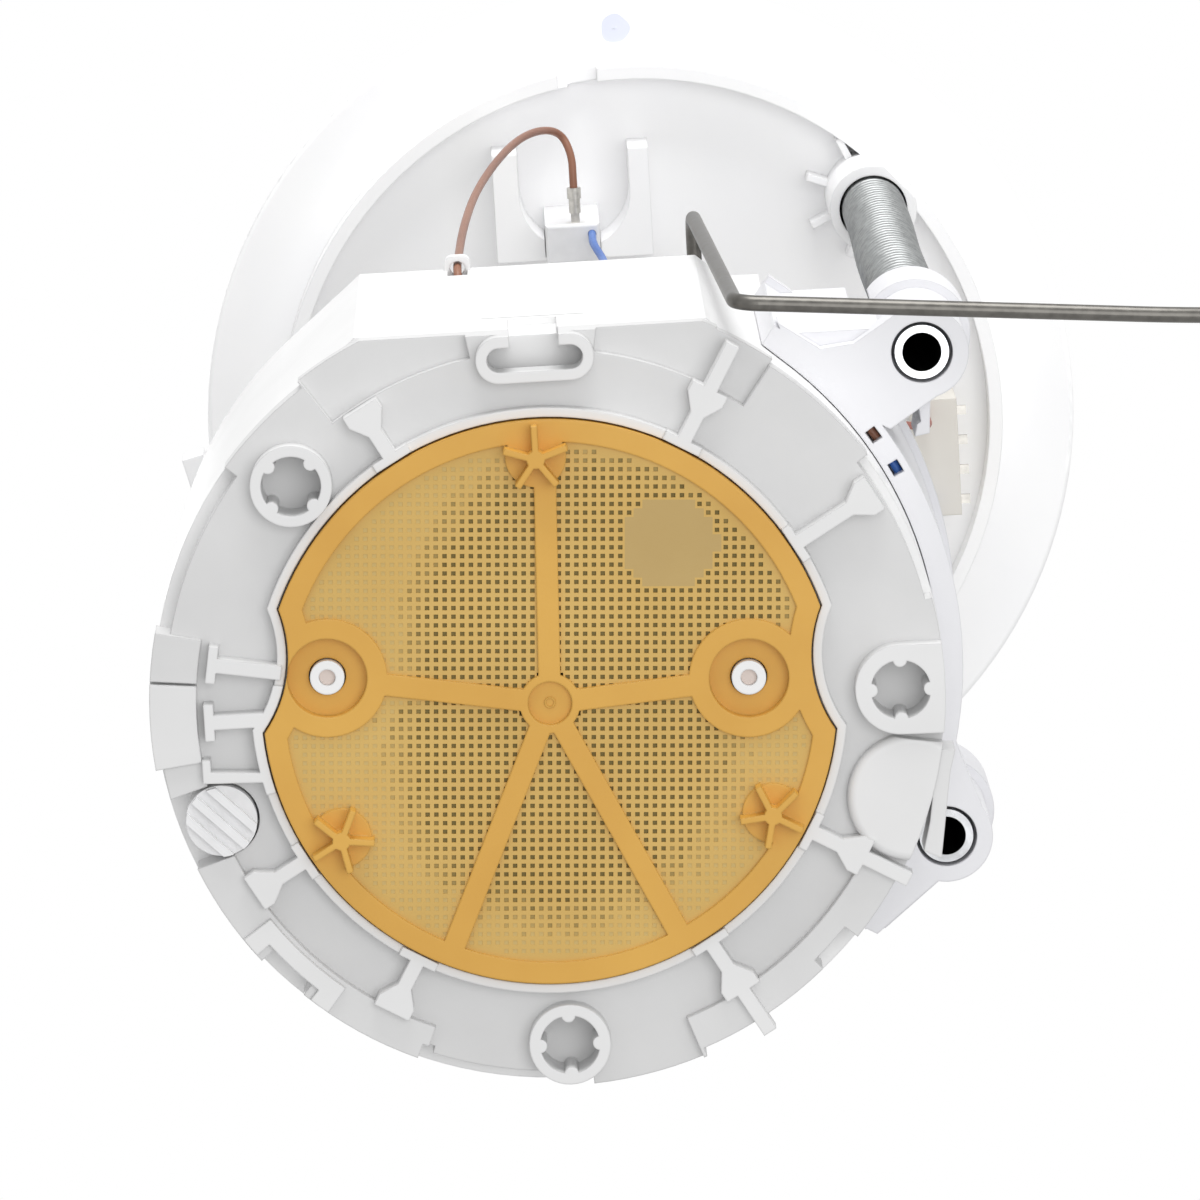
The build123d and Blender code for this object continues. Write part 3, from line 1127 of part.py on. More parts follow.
def float_clip():
    """Push-on washer that keeps the float on its wire."""
    back = float_front() + FLOAT_T
    clip = rod_y(CLIP_R, FLOAT_X, FLOAT_Z, back + 0.1, back + 0.1 + CLIP_T)
    return clip - rod_y(WIRE_R, FLOAT_X, FLOAT_Z, back, back + 2)


# ------------------------------------------------------------------ bay clip
def bay_clip():
    """Clear ribbed snap piece in the open bay of the base ring."""
    x, y = polar(BAY_AT_R, BAY_ANGLE)
    body = disc(BAY_R - 0.3, 1.6, BASE_H, x, y)
    for k in range(3):
        rib = block(-BAY_R, BAY_R, -3.6 + 2.8 * k, -2.4 + 2.8 * k, 0.4, 2.0)
        rib = Pos(x, y, 0) * Rot(0, 0, BAY_ANGLE + 62) * rib
        body += rib & disc(BAY_R - 0.4, 0.4, 2.0, x, y)
    return body


frame = strainer_frame()
PIECES = {
    "base_ring": base_ring(),
    "strainer_frame": frame,
    "strainer_mesh": strainer_mesh(frame),
    "filter_medium": filter_medium(),
    "bay_clip": bay_clip(),
    "reservoir_cup": reservoir_cup(),
    "reservoir_cover": reservoir_cover(),
    "nozzle_left": floor_nozzle(*NOZZLES[0]),
    "nozzle_right": floor_nozzle(*NOZZLES[1]),
    "inlet_valve": inlet_valve(),
    "jet_pump": jet_pump(),
    "guide_carrier": guide_carrier(),
    "channel_lead_brown": channel_lead(-51.5, -30.6),
    "channel_lead_blue": channel_lead(-30.0, 1.5),
    "guide_rod_1": guide_rod(ROD_YS[0]),
    "guide_rod_2": guide_rod(ROD_YS[1]),
    "guide_spring_1": guide_spring(ROD_YS[0]),
    "guide_spring_2": guide_spring(ROD_YS[1]),
    "pump_seat": pump_seat(),
    "pump_shell": pump_shell(),
    "pump_inlet_cap": pump_inlet_cap(),
    "pump_chamber_plate": pump_chamber_plate(),
    "pump_impeller": pump_impeller(),
    "pump_armature": pump_armature(),
    "pump_magnets": pump_magnets(),
    "pump_outlet_cap": pump_outlet_cap(),
    "pump_tabs": pump_tabs(),
    "pump_plug": pump_plug(),
    "filter_case": filter_case(),
    "filter_element": filter_element(),
    "filter_lid": filter_lid(),
    "pressure_regulator": pressure_regulator(),
    "outlet_hose": outlet_hose(),
    "top_flange": top_flange(),
    "connector_shell": connector_shell(),
    "terminal_block": terminal_block(),
    "connector_pins": connector_pins(),
    "outlet_pipe": outlet_pipe(),
    "lead_block": lead_block(),
    "lead_terminal": lead_terminal(),
    "lead_brown": lead(BROWN_ROUTE, LEAD_R, bend_radii(BROWN_ROUTE)),
    "lead_blue": lead(BLUE_ROUTE, LEAD_R, bend_radii(BLUE_ROUTE)),
    "lead_supply": lead(SUPPLY_ROUTE, LEAD_R, bend_radii(SUPPLY_ROUTE)),
    "lead_return": lead(RETURN_ROUTE, LEAD_R, bend_radii(RETURN_ROUTE)),
    "sender_bracket": sender_bracket(),
    "sender_card": sender_card(),
    "card_tracks": card_tracks(),
    "sender_hub": sender_hub(),
    "sender_wiper": sender_wiper(),
    "float_arm": float_arm(),
    "arm_float": arm_float(),
    "float_clip": float_clip(),
}

os.makedirs("parts", exist_ok=True)
for name, piece in PIECES.items():
    export_step(Pos(-FLANGE_X, -FLANGE_Y, -SEAT_Z) * piece, f"parts/{name}.step")
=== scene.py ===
import math

import bmesh
import bpy
from mathutils import Matrix, Vector


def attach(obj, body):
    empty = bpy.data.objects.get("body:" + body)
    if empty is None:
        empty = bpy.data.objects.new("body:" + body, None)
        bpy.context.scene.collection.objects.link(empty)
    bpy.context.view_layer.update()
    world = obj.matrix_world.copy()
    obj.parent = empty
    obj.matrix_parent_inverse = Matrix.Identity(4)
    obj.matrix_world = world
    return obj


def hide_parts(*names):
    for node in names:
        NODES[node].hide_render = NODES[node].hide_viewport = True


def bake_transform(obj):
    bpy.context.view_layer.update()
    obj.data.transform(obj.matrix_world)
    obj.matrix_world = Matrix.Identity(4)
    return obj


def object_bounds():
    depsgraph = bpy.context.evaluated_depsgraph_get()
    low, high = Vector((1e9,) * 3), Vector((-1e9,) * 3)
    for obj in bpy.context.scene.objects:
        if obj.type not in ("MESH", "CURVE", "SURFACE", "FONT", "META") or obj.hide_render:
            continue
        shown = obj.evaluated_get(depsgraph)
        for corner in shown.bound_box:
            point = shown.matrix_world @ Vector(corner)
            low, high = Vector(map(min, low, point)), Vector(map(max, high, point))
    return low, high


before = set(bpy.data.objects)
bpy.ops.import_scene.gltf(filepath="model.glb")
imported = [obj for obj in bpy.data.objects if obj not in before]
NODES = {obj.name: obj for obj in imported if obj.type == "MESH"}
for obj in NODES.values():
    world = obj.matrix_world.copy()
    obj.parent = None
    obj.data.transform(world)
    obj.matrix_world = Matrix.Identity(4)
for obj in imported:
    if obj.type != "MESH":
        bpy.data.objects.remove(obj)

CAD_BOX = [list(v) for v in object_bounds()]

# ---------------------------------------------------------------- places
FLANGE_X, FLANGE_Y, SEAT_Z = 17.5, -8.0, 208.0


def at(x, y, z):
    """Millimetres from the reservoir's axis to metres in the module's frame."""
    return Vector(((x - FLANGE_X) / 1000, (y - FLANGE_Y) / 1000, (z - SEAT_Z) / 1000))


# ---------------------------------------------------------------- materials
def srgb(r, g, b):
    """A colour given in display values from 0 to 255."""
    def one(c):
        c /= 255
        return c / 12.92 if c <= 0.04045 else ((c + 0.055) / 1.055) ** 2.4
    return (one(r), one(g), one(b), 1.0)


def principled(name):
    """A new material with its node tree and its main shader."""
    mat = bpy.data.materials.new(name)
    mat.use_nodes = True
    nodes, links = mat.node_tree.nodes, mat.node_tree.links
    return mat, nodes, links, nodes["Principled BSDF"]


def noise(nodes, links, scale, detail=3.0, stretch=None):
    """Noise in the object's own coordinates, stretched along its axes where asked."""
    coord = nodes.new("ShaderNodeTexCoord")
    texture = nodes.new("ShaderNodeTexNoise")
    texture.inputs["Scale"].default_value = scale
    texture.inputs["Detail"].default_value = detail
    if stretch:
        mapping = nodes.new("ShaderNodeMapping")
        mapping.inputs["Scale"].default_value = stretch
        links.new(coord.outputs["Object"], mapping.inputs["Vector"])
        links.new(mapping.outputs["Vector"], texture.inputs["Vector"])
    else:
        links.new(coord.outputs["Object"], texture.inputs["Vector"])
    return texture


def ramp(nodes, links, source, low, high, colours):
    """Two colours blended between two levels of a value."""
    node = nodes.new("ShaderNodeValToRGB")
    node.color_ramp.elements[0].position = low
    node.color_ramp.elements[1].position = high
    node.color_ramp.elements[0].color = colours[0]
    node.color_ramp.elements[1].color = colours[1]
    links.new(source, node.inputs["Fac"])
    return node


def span(nodes, links, source, low, high):
    """A value from 0 to 1 spread between two others."""
    node = nodes.new("ShaderNodeMapRange")
    node.inputs["To Min"].default_value = low
    node.inputs["To Max"].default_value = high
    links.new(source, node.inputs["Value"])
    return node.outputs["Result"]


def along(nodes, links, axis, start, end, low=0.0, high=1.0):
    """A value that runs from low to high between two places along an object's own axis."""
    coord = nodes.new("ShaderNodeTexCoord")
    parts = nodes.new("ShaderNodeSeparateXYZ")
    links.new(coord.outputs["Object"], parts.inputs["Vector"])
    node = nodes.new("ShaderNodeMapRange")
    node.inputs["From Min"].default_value = start
    node.inputs["From Max"].default_value = end
    node.inputs["To Min"].default_value = low
    node.inputs["To Max"].default_value = high
    links.new(parts.outputs[axis], node.inputs["Value"])
    return node.outputs["Result"]


def mixed(nodes, links, share):
    """A colour mix by a share, with its two colours left to set."""
    blend = nodes.new("ShaderNodeMix")
    blend.data_type = "RGBA"
    links.new(share, blend.inputs["Factor"])
    return blend


def relief(nodes, links, bsdf, height, strength, distance, edge=0.0):
    """Bump over a softened edge."""
    bump = nodes.new("ShaderNodeBump")
    bump.inputs["Strength"].default_value = strength
    bump.inputs["Distance"].default_value = distance
    links.new(height, bump.inputs["Height"])
    if edge:
        bevel = nodes.new("ShaderNodeBevel")
        bevel.samples = 4
        bevel.inputs["Radius"].default_value = edge
        links.new(bevel.outputs["Normal"], bump.inputs["Normal"])
    links.new(bump.outputs["Normal"], bsdf.inputs["Normal"])


def moulded(name, colour, shade, rough=0.42, grain=900, edge=0.00035):
    """Injection-moulded plastic: cloudy colour, fine grain, softened edges."""
    mat, nodes, links, bsdf = principled(name)
    cloud = noise(nodes, links, 45, 4)
    tint = ramp(nodes, links, cloud.outputs["Fac"], 0.3, 0.7, (shade, colour))
    links.new(tint.outputs["Color"], bsdf.inputs["Base Color"])
    fine = noise(nodes, links, grain, 5)
    links.new(span(nodes, links, fine.outputs["Fac"], rough - 0.07, rough + 0.09),
              bsdf.inputs["Roughness"])
    bsdf.inputs["Specular IOR Level"].default_value = 0.45
    relief(nodes, links, bsdf, fine.outputs["Fac"], 0.12, 0.00004, edge)
    return mat


def metal(name, colour, rough, grain=260, stretch=(1, 1, 12), depth=0.00002):
    """Drawn or plated metal with fine lines along one direction."""
    mat, nodes, links, bsdf = principled(name)
    lines = noise(nodes, links, grain, 4, stretch)
    dark = tuple(c * 0.78 for c in colour[:3]) + (1.0,)
    tint = ramp(nodes, links, lines.outputs["Fac"], 0.35, 0.65, (dark, colour))
    links.new(tint.outputs["Color"], bsdf.inputs["Base Color"])
    bsdf.inputs["Metallic"].default_value = 1.0
    links.new(span(nodes, links, lines.outputs["Fac"], rough - 0.05, rough + 0.1),
              bsdf.inputs["Roughness"])
    relief(nodes, links, bsdf, lines.outputs["Fac"], 0.15, depth)
    return mat


def paint_light_on_edges(mat, plane, depth, amount):
    """Painted light on the thin raised edges of a translucent moulding: white mixed in near one
    plane, so they look lighter than its floors.
    """
    nodes, links = mat.node_tree.nodes, mat.node_tree.links
    bsdf = next(n for n in nodes if n.type == "BSDF_PRINCIPLED")
    source = bsdf.inputs["Base Color"].links[0].from_socket
    blend = mixed(nodes, links, along(nodes, links, "Z", plane, plane + depth, amount, 0.0))
    links.new(source, blend.inputs["A"])
    blend.inputs["B"].default_value = (1, 1, 1, 1)
    links.new(blend.outputs["Result"], bsdf.inputs["Base Color"])


def clear(name, colour, rough, weight):
    """Natural plastic that lets a little light through."""
    mat, nodes, links, bsdf = principled(name)
    fine = noise(nodes, links, 300, 3)
    tint = ramp(nodes, links, fine.outputs["Fac"], 0.3, 0.7,
                (tuple(c * 0.93 for c in colour[:3]) + (1,), colour))
    links.new(tint.outputs["Color"], bsdf.inputs["Base Color"])
    bsdf.inputs["Roughness"].default_value = rough
    bsdf.inputs["IOR"].default_value = 1.45
    bsdf.inputs["Transmission Weight"].default_value = weight
    relief(nodes, links, bsdf, fine.outputs["Fac"], 0.2, 0.0001)
    return mat


WHITE = moulded("white_acetal", srgb(240, 240, 240), srgb(233, 233, 233), 0.4)
# Painted shade: the base ring gets a darker copy of the white acetal.
BASE_WHITE_SHADED = moulded("base_acetal_painted_shade", srgb(216, 216, 216), srgb(207, 207, 207), 0.4)
# Painted shade: the guide carrier gets a slightly darker copy of the white acetal.
CARRIER_WHITE_SHADED = moulded("carrier_acetal_painted_shade", srgb(233, 233, 236), srgb(226, 226, 229), 0.42)
# Painted light: the flange, connector shell and outlet pipe get a pure white copy of the acetal,
# brighter than the others.
FLANGE_WHITE_LIT = moulded("flange_white", srgb(255, 255, 255), srgb(252, 252, 253), 0.36)
ORANGE = moulded("strainer_orange", srgb(218, 169, 76), srgb(208, 157, 66), 0.46, 1100, 0.0004)
MESH_ORANGE = moulded("strainer_window", srgb(211, 175, 98), srgb(200, 163, 87), 0.5, 900, 0.0)
BLANK_ORANGE = moulded("strainer_blank", srgb(190, 162, 102), srgb(182, 153, 94), 0.5, 900, 0.0)
CREAM = moulded("cream_nylon", srgb(232, 228, 220), srgb(222, 218, 209), 0.45)
BLACK = moulded("black_nylon", srgb(38, 38, 40), srgb(30, 30, 32), 0.45)
RUBBER = moulded("black_rubber", srgb(26, 26, 27), srgb(20, 20, 21), 0.7, 500)
RESIN = moulded("brown_resin", srgb(70, 48, 34), srgb(60, 40, 28), 0.5)
BROWN = moulded("lead_brown", srgb(150, 104, 82), srgb(132, 88, 68), 0.4, 1500, 0.0)
BLUE = moulded("lead_blue", srgb(66, 116, 196), srgb(54, 100, 178), 0.4, 1500, 0.0)
RED_BROWN = moulded("lead_red", srgb(160, 72, 48), srgb(140, 60, 40), 0.4, 1500, 0.0)
PAINT = moulded("paint_dot", srgb(228, 231, 244), srgb(222, 226, 241), 0.5, 700, 0.0)
INSERT = moulded("nozzle_insert", srgb(226, 212, 204), srgb(214, 200, 192), 0.5, 900, 0.0)
CERAMIC = moulded("ceramic", srgb(232, 230, 224), srgb(222, 220, 214), 0.3)
HOSE_WHITE = moulded("hose_nylon", srgb(226, 225, 218), srgb(216, 215, 208), 0.35, 600)
STEEL = metal("spring_steel", (0.36, 0.37, 0.37, 1), 0.42, 900, (1, 1, 1))
CHROME = metal("chrome_tube", (0.72, 0.73, 0.75, 1), 0.12, 400, (1, 1, 0.1))
ARM = metal("arm_steel", (0.145, 0.139, 0.128, 1), 0.34, 700, (1, 1, 1), 0.00004)
CAN = metal("pump_can", (0.62, 0.62, 0.63, 1), 0.3, 200, (1, 1, 10))
TINNED = metal("tinned", (0.62, 0.60, 0.56, 1), 0.3, 900, (1, 1, 1))
COPPER = metal("winding", (0.72, 0.40, 0.26, 1), 0.35, 1400, (1, 1, 8))
MAGNET = moulded("magnet", srgb(60, 60, 64), srgb(50, 50, 54), 0.6)
CLEAR = clear("natural_nylon", srgb(250, 250, 251), 0.24, 0.12)
# Painted light: the lowest 1.2 mm of the base ring is mixed towards white, most at its bottom.
RIB_EDGE_Z, RIB_EDGE_DEPTH, RIB_PAINTED_LIGHT = -0.2074, 0.0012, 0.3
paint_light_on_edges(BASE_WHITE_SHADED, RIB_EDGE_Z, RIB_EDGE_DEPTH, RIB_PAINTED_LIGHT)

# Hole floors: the pad behind the strainer's holes with the holes' shade painted in, from pale to
# olive.
TONES = ((204, 176, 112), (190, 164, 102), (170, 148, 90), (148, 130, 76), (128, 114, 64))
HOLE_SHADE_TONES = [moulded(f"hole_{k}", srgb(*tone), srgb(*(c - 8 for c in tone)), 0.7, 900, 0.0)
              for k, tone in enumerate(TONES)]


def felt():
    """Filter pad: pale on its left side, olive from the middle on."""
    mat, nodes, links, bsdf = principled("filter_felt")
    weave = noise(nodes, links, 1400, 4)
    pale = ramp(nodes, links, weave.outputs["Fac"], 0.3, 0.7,
                (srgb(196, 180, 118), srgb(220, 202, 138)))
    deep = ramp(nodes, links, weave.outputs["Fac"], 0.3, 0.7,
                (srgb(126, 118, 76), srgb(152, 142, 94)))
    blend = mixed(nodes, links, along(nodes, links, "X", -0.033, 0.0))
    links.new(pale.outputs["Color"], blend.inputs["A"])
    links.new(deep.outputs["Color"], blend.inputs["B"])
    links.new(blend.outputs["Result"], bsdf.inputs["Base Color"])
    bsdf.inputs["Roughness"].default_value = 0.9
    relief(nodes, links, bsdf, weave.outputs["Fac"], 0.6, 0.0001)
    return mat


def float_foam():
    """Closed-cell float: black with small pits."""
    mat, nodes, links, bsdf = principled("float_foam")
    coord = nodes.new("ShaderNodeTexCoord")
    cells = nodes.new("ShaderNodeTexVoronoi")
    cells.inputs["Scale"].default_value = 900
    links.new(coord.outputs["Object"], cells.inputs["Vector"])
    tint = ramp(nodes, links, cells.outputs["Distance"], 0.1, 0.6,
                (srgb(22, 22, 23), srgb(44, 44, 46)))
    links.new(tint.outputs["Color"], bsdf.inputs["Base Color"])
    bsdf.inputs["Roughness"].default_value = 0.75
    relief(nodes, links, bsdf, cells.outputs["Distance"], 0.5, 0.0002)
    return mat


FELT = felt()
FOAM = float_foam()

LOOK = {
    BASE_WHITE_SHADED: ("base_ring",),
    WHITE: ("reservoir_cup", "reservoir_cover", "nozzle_left", "nozzle_right",
            "jet_pump", "sender_bracket"),
    CARRIER_WHITE_SHADED: ("guide_carrier",),
    FLANGE_WHITE_LIT: ("top_flange", "connector_shell", "outlet_pipe"),
    ORANGE: ("strainer_frame",),
    MESH_ORANGE: ("strainer_mesh",),
    CREAM: ("terminal_block",),
    BLACK: ("pump_outlet_cap", "pump_plug", "filter_case", "filter_lid", "sender_hub"),
    RUBBER: ("pump_seat", "inlet_valve"),
    RESIN: ("pump_impeller",),
    BROWN: ("channel_lead_brown", "lead_brown"),
    BLUE: ("channel_lead_blue", "lead_blue", "lead_return"),
    RED_BROWN: ("lead_supply",),
    CERAMIC: ("sender_card",),
    HOSE_WHITE: ("outlet_hose",),
    STEEL: ("guide_spring_1", "guide_spring_2"),
    CHROME: ("guide_rod_1", "guide_rod_2"),
    ARM: ("float_arm", "float_clip"),
    CAN: ("pump_shell", "pressure_regulator", "pump_inlet_cap", "pump_chamber_plate",
          "card_tracks"),
    TINNED: ("connector_pins", "lead_terminal", "pump_tabs", "sender_wiper"),
    COPPER: ("pump_armature",),
    MAGNET: ("pump_magnets",),
    CLEAR: ("bay_clip", "lead_block"),
    FELT: ("filter_medium", "filter_element"),
    FOAM: ("arm_float",),
}
for look, names in LOOK.items():
    for name in names:
        for slot in NODES[name].material_slots:
            slot.material = look


# ---------------------------------------------------------------- mesh helpers
def add(name, verts, faces, look, smooth=True):
    """An object made of the given faces."""
    mesh = bpy.data.meshes.new(name)
    mesh.from_pydata([tuple(v) for v in verts], [], faces)
    mesh.validate()
    mesh.materials.append(look)
    obj = bpy.data.objects.new(name, mesh)
    bpy.context.scene.collection.objects.link(obj)
    if smooth:
        mesh.shade_smooth()
    return obj


def line_points(route, steps=10):
    """Points of a smooth NURBS line through a route."""
    curve = bpy.data.curves.new("route", "CURVE")
    curve.dimensions = "3D"
    spline = curve.splines.new("NURBS")
    spline.points.add(len(route) - 1)
    for point, place in zip(spline.points, route):
        point.co = (*place, 1)
    spline.order_u = 3
    spline.use_endpoint_u = True
    curve.resolution_u = steps
    obj = bpy.data.objects.new("route", curve)
    bpy.context.scene.collection.objects.link(obj)
    mesh = bpy.data.meshes.new_from_object(obj)
    points = [v.co.copy() for v in mesh.vertices]
    bpy.data.objects.remove(obj)
    bpy.data.curves.remove(curve)
    bpy.data.meshes.remove(mesh)
    return points


def frames(points):
    """A side and an up vector at each point, without twist."""
    out = []
    side = None
    for k, here in enumerate(points):
        ahead = points[min(k + 1, len(points) - 1)] - points[max(k - 1, 0)]
        ahead.normalize()
        if side is None:
            side = ahead.orthogonal().normalized()
        side = (side - ahead * side.dot(ahead)).normalized()
        out.append((here, side, ahead.cross(side)))
    return out


def rings(name, stations, look, sides=16):
    """Closed skin over rings of given (centre, side, up, radius)."""
    verts, faces = [], []
    for centre, side, up, radius in stations:
        for k in range(sides):
            turn = 2 * math.pi * k / sides
            verts.append(centre + (side * math.cos(turn) + up * math.sin(turn)) * radius)
    for i in range(len(stations) - 1):
        for k in range(sides):
            m = (k + 1) % sides
            faces.append((i * sides + k, i * sides + m, (i + 1) * sides + m, (i + 1) * sides + k))
    faces.append(tuple(reversed(range(sides))))
    faces.append(tuple(range((len(stations) - 1) * sides, len(stations) * sides)))
    return add(name, verts, faces, look)


def round_wire(name, points, radius, look, sides):
    return rings(name, [(c, s, u, radius) for c, s, u in frames(points)], look, sides)


# ---------------------------------------------------------------- strainer windows
STRAINER_R, SCALLOP_R, SCALLOP_AT_R = 41.6, 19.7, 58.0
NOZZLES = ((-32.0, -5.6), (29.0, -2.0))
PITCH, HOLE, TURN = 1.27, 0.66, math.radians(3.3)
MESH_LOW, MESH_HIGH = 0.1, 0.9
WINDOW_MARGIN, HOLE_MARGIN = 1.4, 4.0   # inside the strainer's outline
HUB_CLEAR_R, NOZZLE_CLEAR_R = 4.1, 7.4
HOLE_TAPER = 0.94
HOLE_DEPTH, DEPTH_PER_TONE = 0.06, 0.07
BLANK_X, BLANK_Y, BLANK_R = 18.7, -22.5, 6.8
PLAIN_SLOT, FIRST_TONE_SLOT, BLANK_SLOT = 0, 1, 1 + len(TONES)


def strainer_depth(x, y):
    """Distance inside the strainer's outline."""
    depth = STRAINER_R - math.hypot(x, y)
    for nx, ny in NOZZLES:
        reach = math.hypot(nx, ny)
        cx, cy = nx / reach * SCALLOP_AT_R, ny / reach * SCALLOP_AT_R
        depth = min(depth, math.hypot(x - cx, y - cy) - SCALLOP_R)
    return depth


# Edge of the dark part of the hole floors, where the pad's colour carries the most painted shade:
# a direction in degrees and the radius there.
DARK_EDGE = ((-180, 23), (-150, 26), (-120, 33), (-90, 37), (-30, 37.5), (-10, 31), (20, 28),
             (50, 31), (90, 33), (130, 30), (160, 24), (180, 23))
FADE_WIDTH, FADE_START = 9.0, 0.35
UNEVEN, UNEVEN_X, UNEVEN_Y = 0.12, 1.7, 0.9
SIDE_FADE = 60.0


def hole_tone(x, y):
    """Which tone a hole's floor has, the pad's colour with painted shade: pale outside the dark
    part, olive well inside it.
    """
    angle = math.degrees(math.atan2(y, x))
    edge = DARK_EDGE[0][1]
    for (a0, r0), (a1, r1) in zip(DARK_EDGE, DARK_EDGE[1:]):
        if a0 <= angle <= a1:
            edge = r0 + (r1 - r0) * (angle - a0) / (a1 - a0)
    inside = (edge - math.hypot(x, y)) / FADE_WIDTH
    inside += UNEVEN * math.sin(UNEVEN_X * x + UNEVEN_Y * y)
    if y < 0:
        inside += x / SIDE_FADE
    return min(len(TONES) - 1, max(0, int(len(TONES) * (inside + FADE_START))))


def cell_kind(x, y):
    """A window cell: open, plain, of the round blank, or left out under the hub or a nozzle."""
    if strainer_depth(x, y) < WINDOW_MARGIN or math.hypot(x, y) < HUB_CLEAR_R:
        return "none"
    if any(math.hypot(x - nx, y - ny) < NOZZLE_CLEAR_R for nx, ny in NOZZLES):
        return "none"
    if math.hypot(x - BLANK_X, y - BLANK_Y) < BLANK_R:
        return "blank"
    return "plain" if strainer_depth(x, y) < HOLE_MARGIN else "open"


def strainer_windows():
    """The strainer's plates, cell by cell, each open cell with a shallow square hole."""
    verts, faces, tints = [], [], []
    reach = int(STRAINER_R / PITCH) + 1
    half, hole = PITCH / 2, HOLE / 2
    corners = ((-1, -1), (1, -1), (1, 1), (-1, 1))

    def square(gx, gy, size, level):
        row = []
        for a, b in corners:
            px, py = gx + a * size, gy + b * size
            row.append(len(verts))
            verts.append(at(px * math.cos(TURN) - py * math.sin(TURN),
                            px * math.sin(TURN) + py * math.cos(TURN), level))
        return row

    def between(first, second, tint):
        for k in range(4):
            m = (k + 1) % 4
            faces.append((first[m], first[k], second[k], second[m]))
            tints.append(tint)

    for i in range(-reach, reach + 1):
        for j in range(-reach, reach + 1):
            gx, gy = i * PITCH, j * PITCH
            x = gx * math.cos(TURN) - gy * math.sin(TURN)
            y = gx * math.sin(TURN) + gy * math.cos(TURN)
            kind = cell_kind(x, y)
            if kind == "none":
                continue
            low, high = square(gx, gy, half, MESH_LOW), square(gx, gy, half, MESH_HIGH)
            if kind in ("plain", "blank"):
                faces += [tuple(reversed(low)), tuple(high)]
                tints += [BLANK_SLOT if kind == "blank" else PLAIN_SLOT, PLAIN_SLOT]
                continue
            # Painted shade: the floor's tone darkens the pad's colour to stand for the hole's
            # depth.
            tone = hole_tone(x, y)
            mouth = square(gx, gy, hole, MESH_LOW)
            base = square(gx, gy, hole * HOLE_TAPER,
                          MESH_LOW + HOLE_DEPTH + DEPTH_PER_TONE * tone)
            between(low, mouth, PLAIN_SLOT)
            between(mouth, base, PLAIN_SLOT)
            faces += [tuple(reversed(base)), tuple(high)]
            tints += [FIRST_TONE_SLOT + tone, PLAIN_SLOT]
    piece = add("strainer_windows", verts, faces, MESH_ORANGE, smooth=False)
    for look in HOLE_SHADE_TONES + [BLANK_ORANGE]:
        piece.data.materials.append(look)
    piece.data.polygons.foreach_set("material_index", tints)
    bm = bmesh.new()
    bm.from_mesh(piece.data)
    bmesh.ops.remove_doubles(bm, verts=bm.verts, dist=0.00001)
    bm.to_mesh(piece.data)
    bm.free()
    return piece


windows = strainer_windows()
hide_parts("strainer_mesh")
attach(windows, "reservoir")


def flat_ring(name, x, y, inner, outer, low, high, look, sides=40):
    """Ring of square section about an upright line, riding on the reservoir."""
    verts, faces = [], []
    profile = ((inner, low), (outer, low), (outer, high), (inner, high))
    count = len(profile)
    for k in range(sides):
        turn = 2 * math.pi * k / sides
        for radius, z in profile:
            verts.append(at(x + radius * math.cos(turn), y + radius * math.sin(turn), z))
    for k in range(sides):
        for j in range(count):
            a, b = k * count + j, k * count + (j + 1) % count
            step = ((k + 1) % sides - k) * count
            faces.append((a, a + step, b + step, b))
    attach(add(name, verts, faces, look, smooth=False), "reservoir")


HUB_FLOOR, HUB_RING_IN, HUB_RING_OUT, HUB_RING_STANDS, HUB_RING_SUNK = 0.4, 0.55, 0.85, 0.15, 0.05
NOZZLE_FACE, INSERT_BORE, INSERT_R, INSERT_SUNK, INSERT_THICK = 0.1, 0.01, 1.17, 0.8, 0.6
flat_ring("hub_ring", 0, 0, HUB_RING_IN, HUB_RING_OUT, HUB_FLOOR - HUB_RING_STANDS,
          HUB_FLOOR + HUB_RING_SUNK, ORANGE)
insert_low = NOZZLE_FACE + INSERT_SUNK
for side, (x, y) in zip(("left", "right"), NOZZLES):
    flat_ring(f"nozzle_insert_{side}", x, y, INSERT_BORE, INSERT_R, insert_low,
              insert_low + INSERT_THICK, INSERT)


# ---------------------------------------------------------------- springs
ROD_X, ROD_YS = 57.5, (-44.3, 28.4)
SPRING_R, WIRE_R, TURNS, CLOSED_TURNS = 4.75, 0.5, 60, 2.0
CLOSED_PITCH = 2 * WIRE_R * 1.02
STEPS_A_TURN, WIRE_SIDES = 30, 8
SPRING_LOW, SPRING_HIGH = 46.0 + WIRE_R, 206.0 - WIRE_R
BOWS = (0.22, -0.15)
BOW_WAVES, BOW_START = 3.2, 0.5


def coil_height(turn):
    """Height of the wire after so many turns: closed end turns, even pitch between them."""
    if turn < CLOSED_TURNS:
        return SPRING_LOW + CLOSED_PITCH * turn
    if turn > TURNS - CLOSED_TURNS:
        return SPRING_HIGH - CLOSED_PITCH * (TURNS - turn)
    low = SPRING_LOW + CLOSED_PITCH * CLOSED_TURNS
    high = SPRING_HIGH - CLOSED_PITCH * CLOSED_TURNS
    return low + (high - low) * (turn - CLOSED_TURNS) / (TURNS - 2 * CLOSED_TURNS)


def coil_spring(name, y, bow):
    """Guide spring with a slight bow between its ends."""
    points = []
    for k in range(TURNS * STEPS_A_TURN + 1):
        turn = k / STEPS_A_TURN
        share = turn / TURNS
        angle = 2 * math.pi * turn
        wave = math.cos(math.pi * (share * BOW_WAVES - BOW_START))
        sway = bow * math.sin(math.pi * share) ** 2 * wave
        points.append(at(ROD_X + sway + SPRING_R * math.cos(angle),
                         y + SPRING_R * math.sin(angle), coil_height(turn)))
    return round_wire(name, points, WIRE_R / 1000, STEEL, WIRE_SIDES)


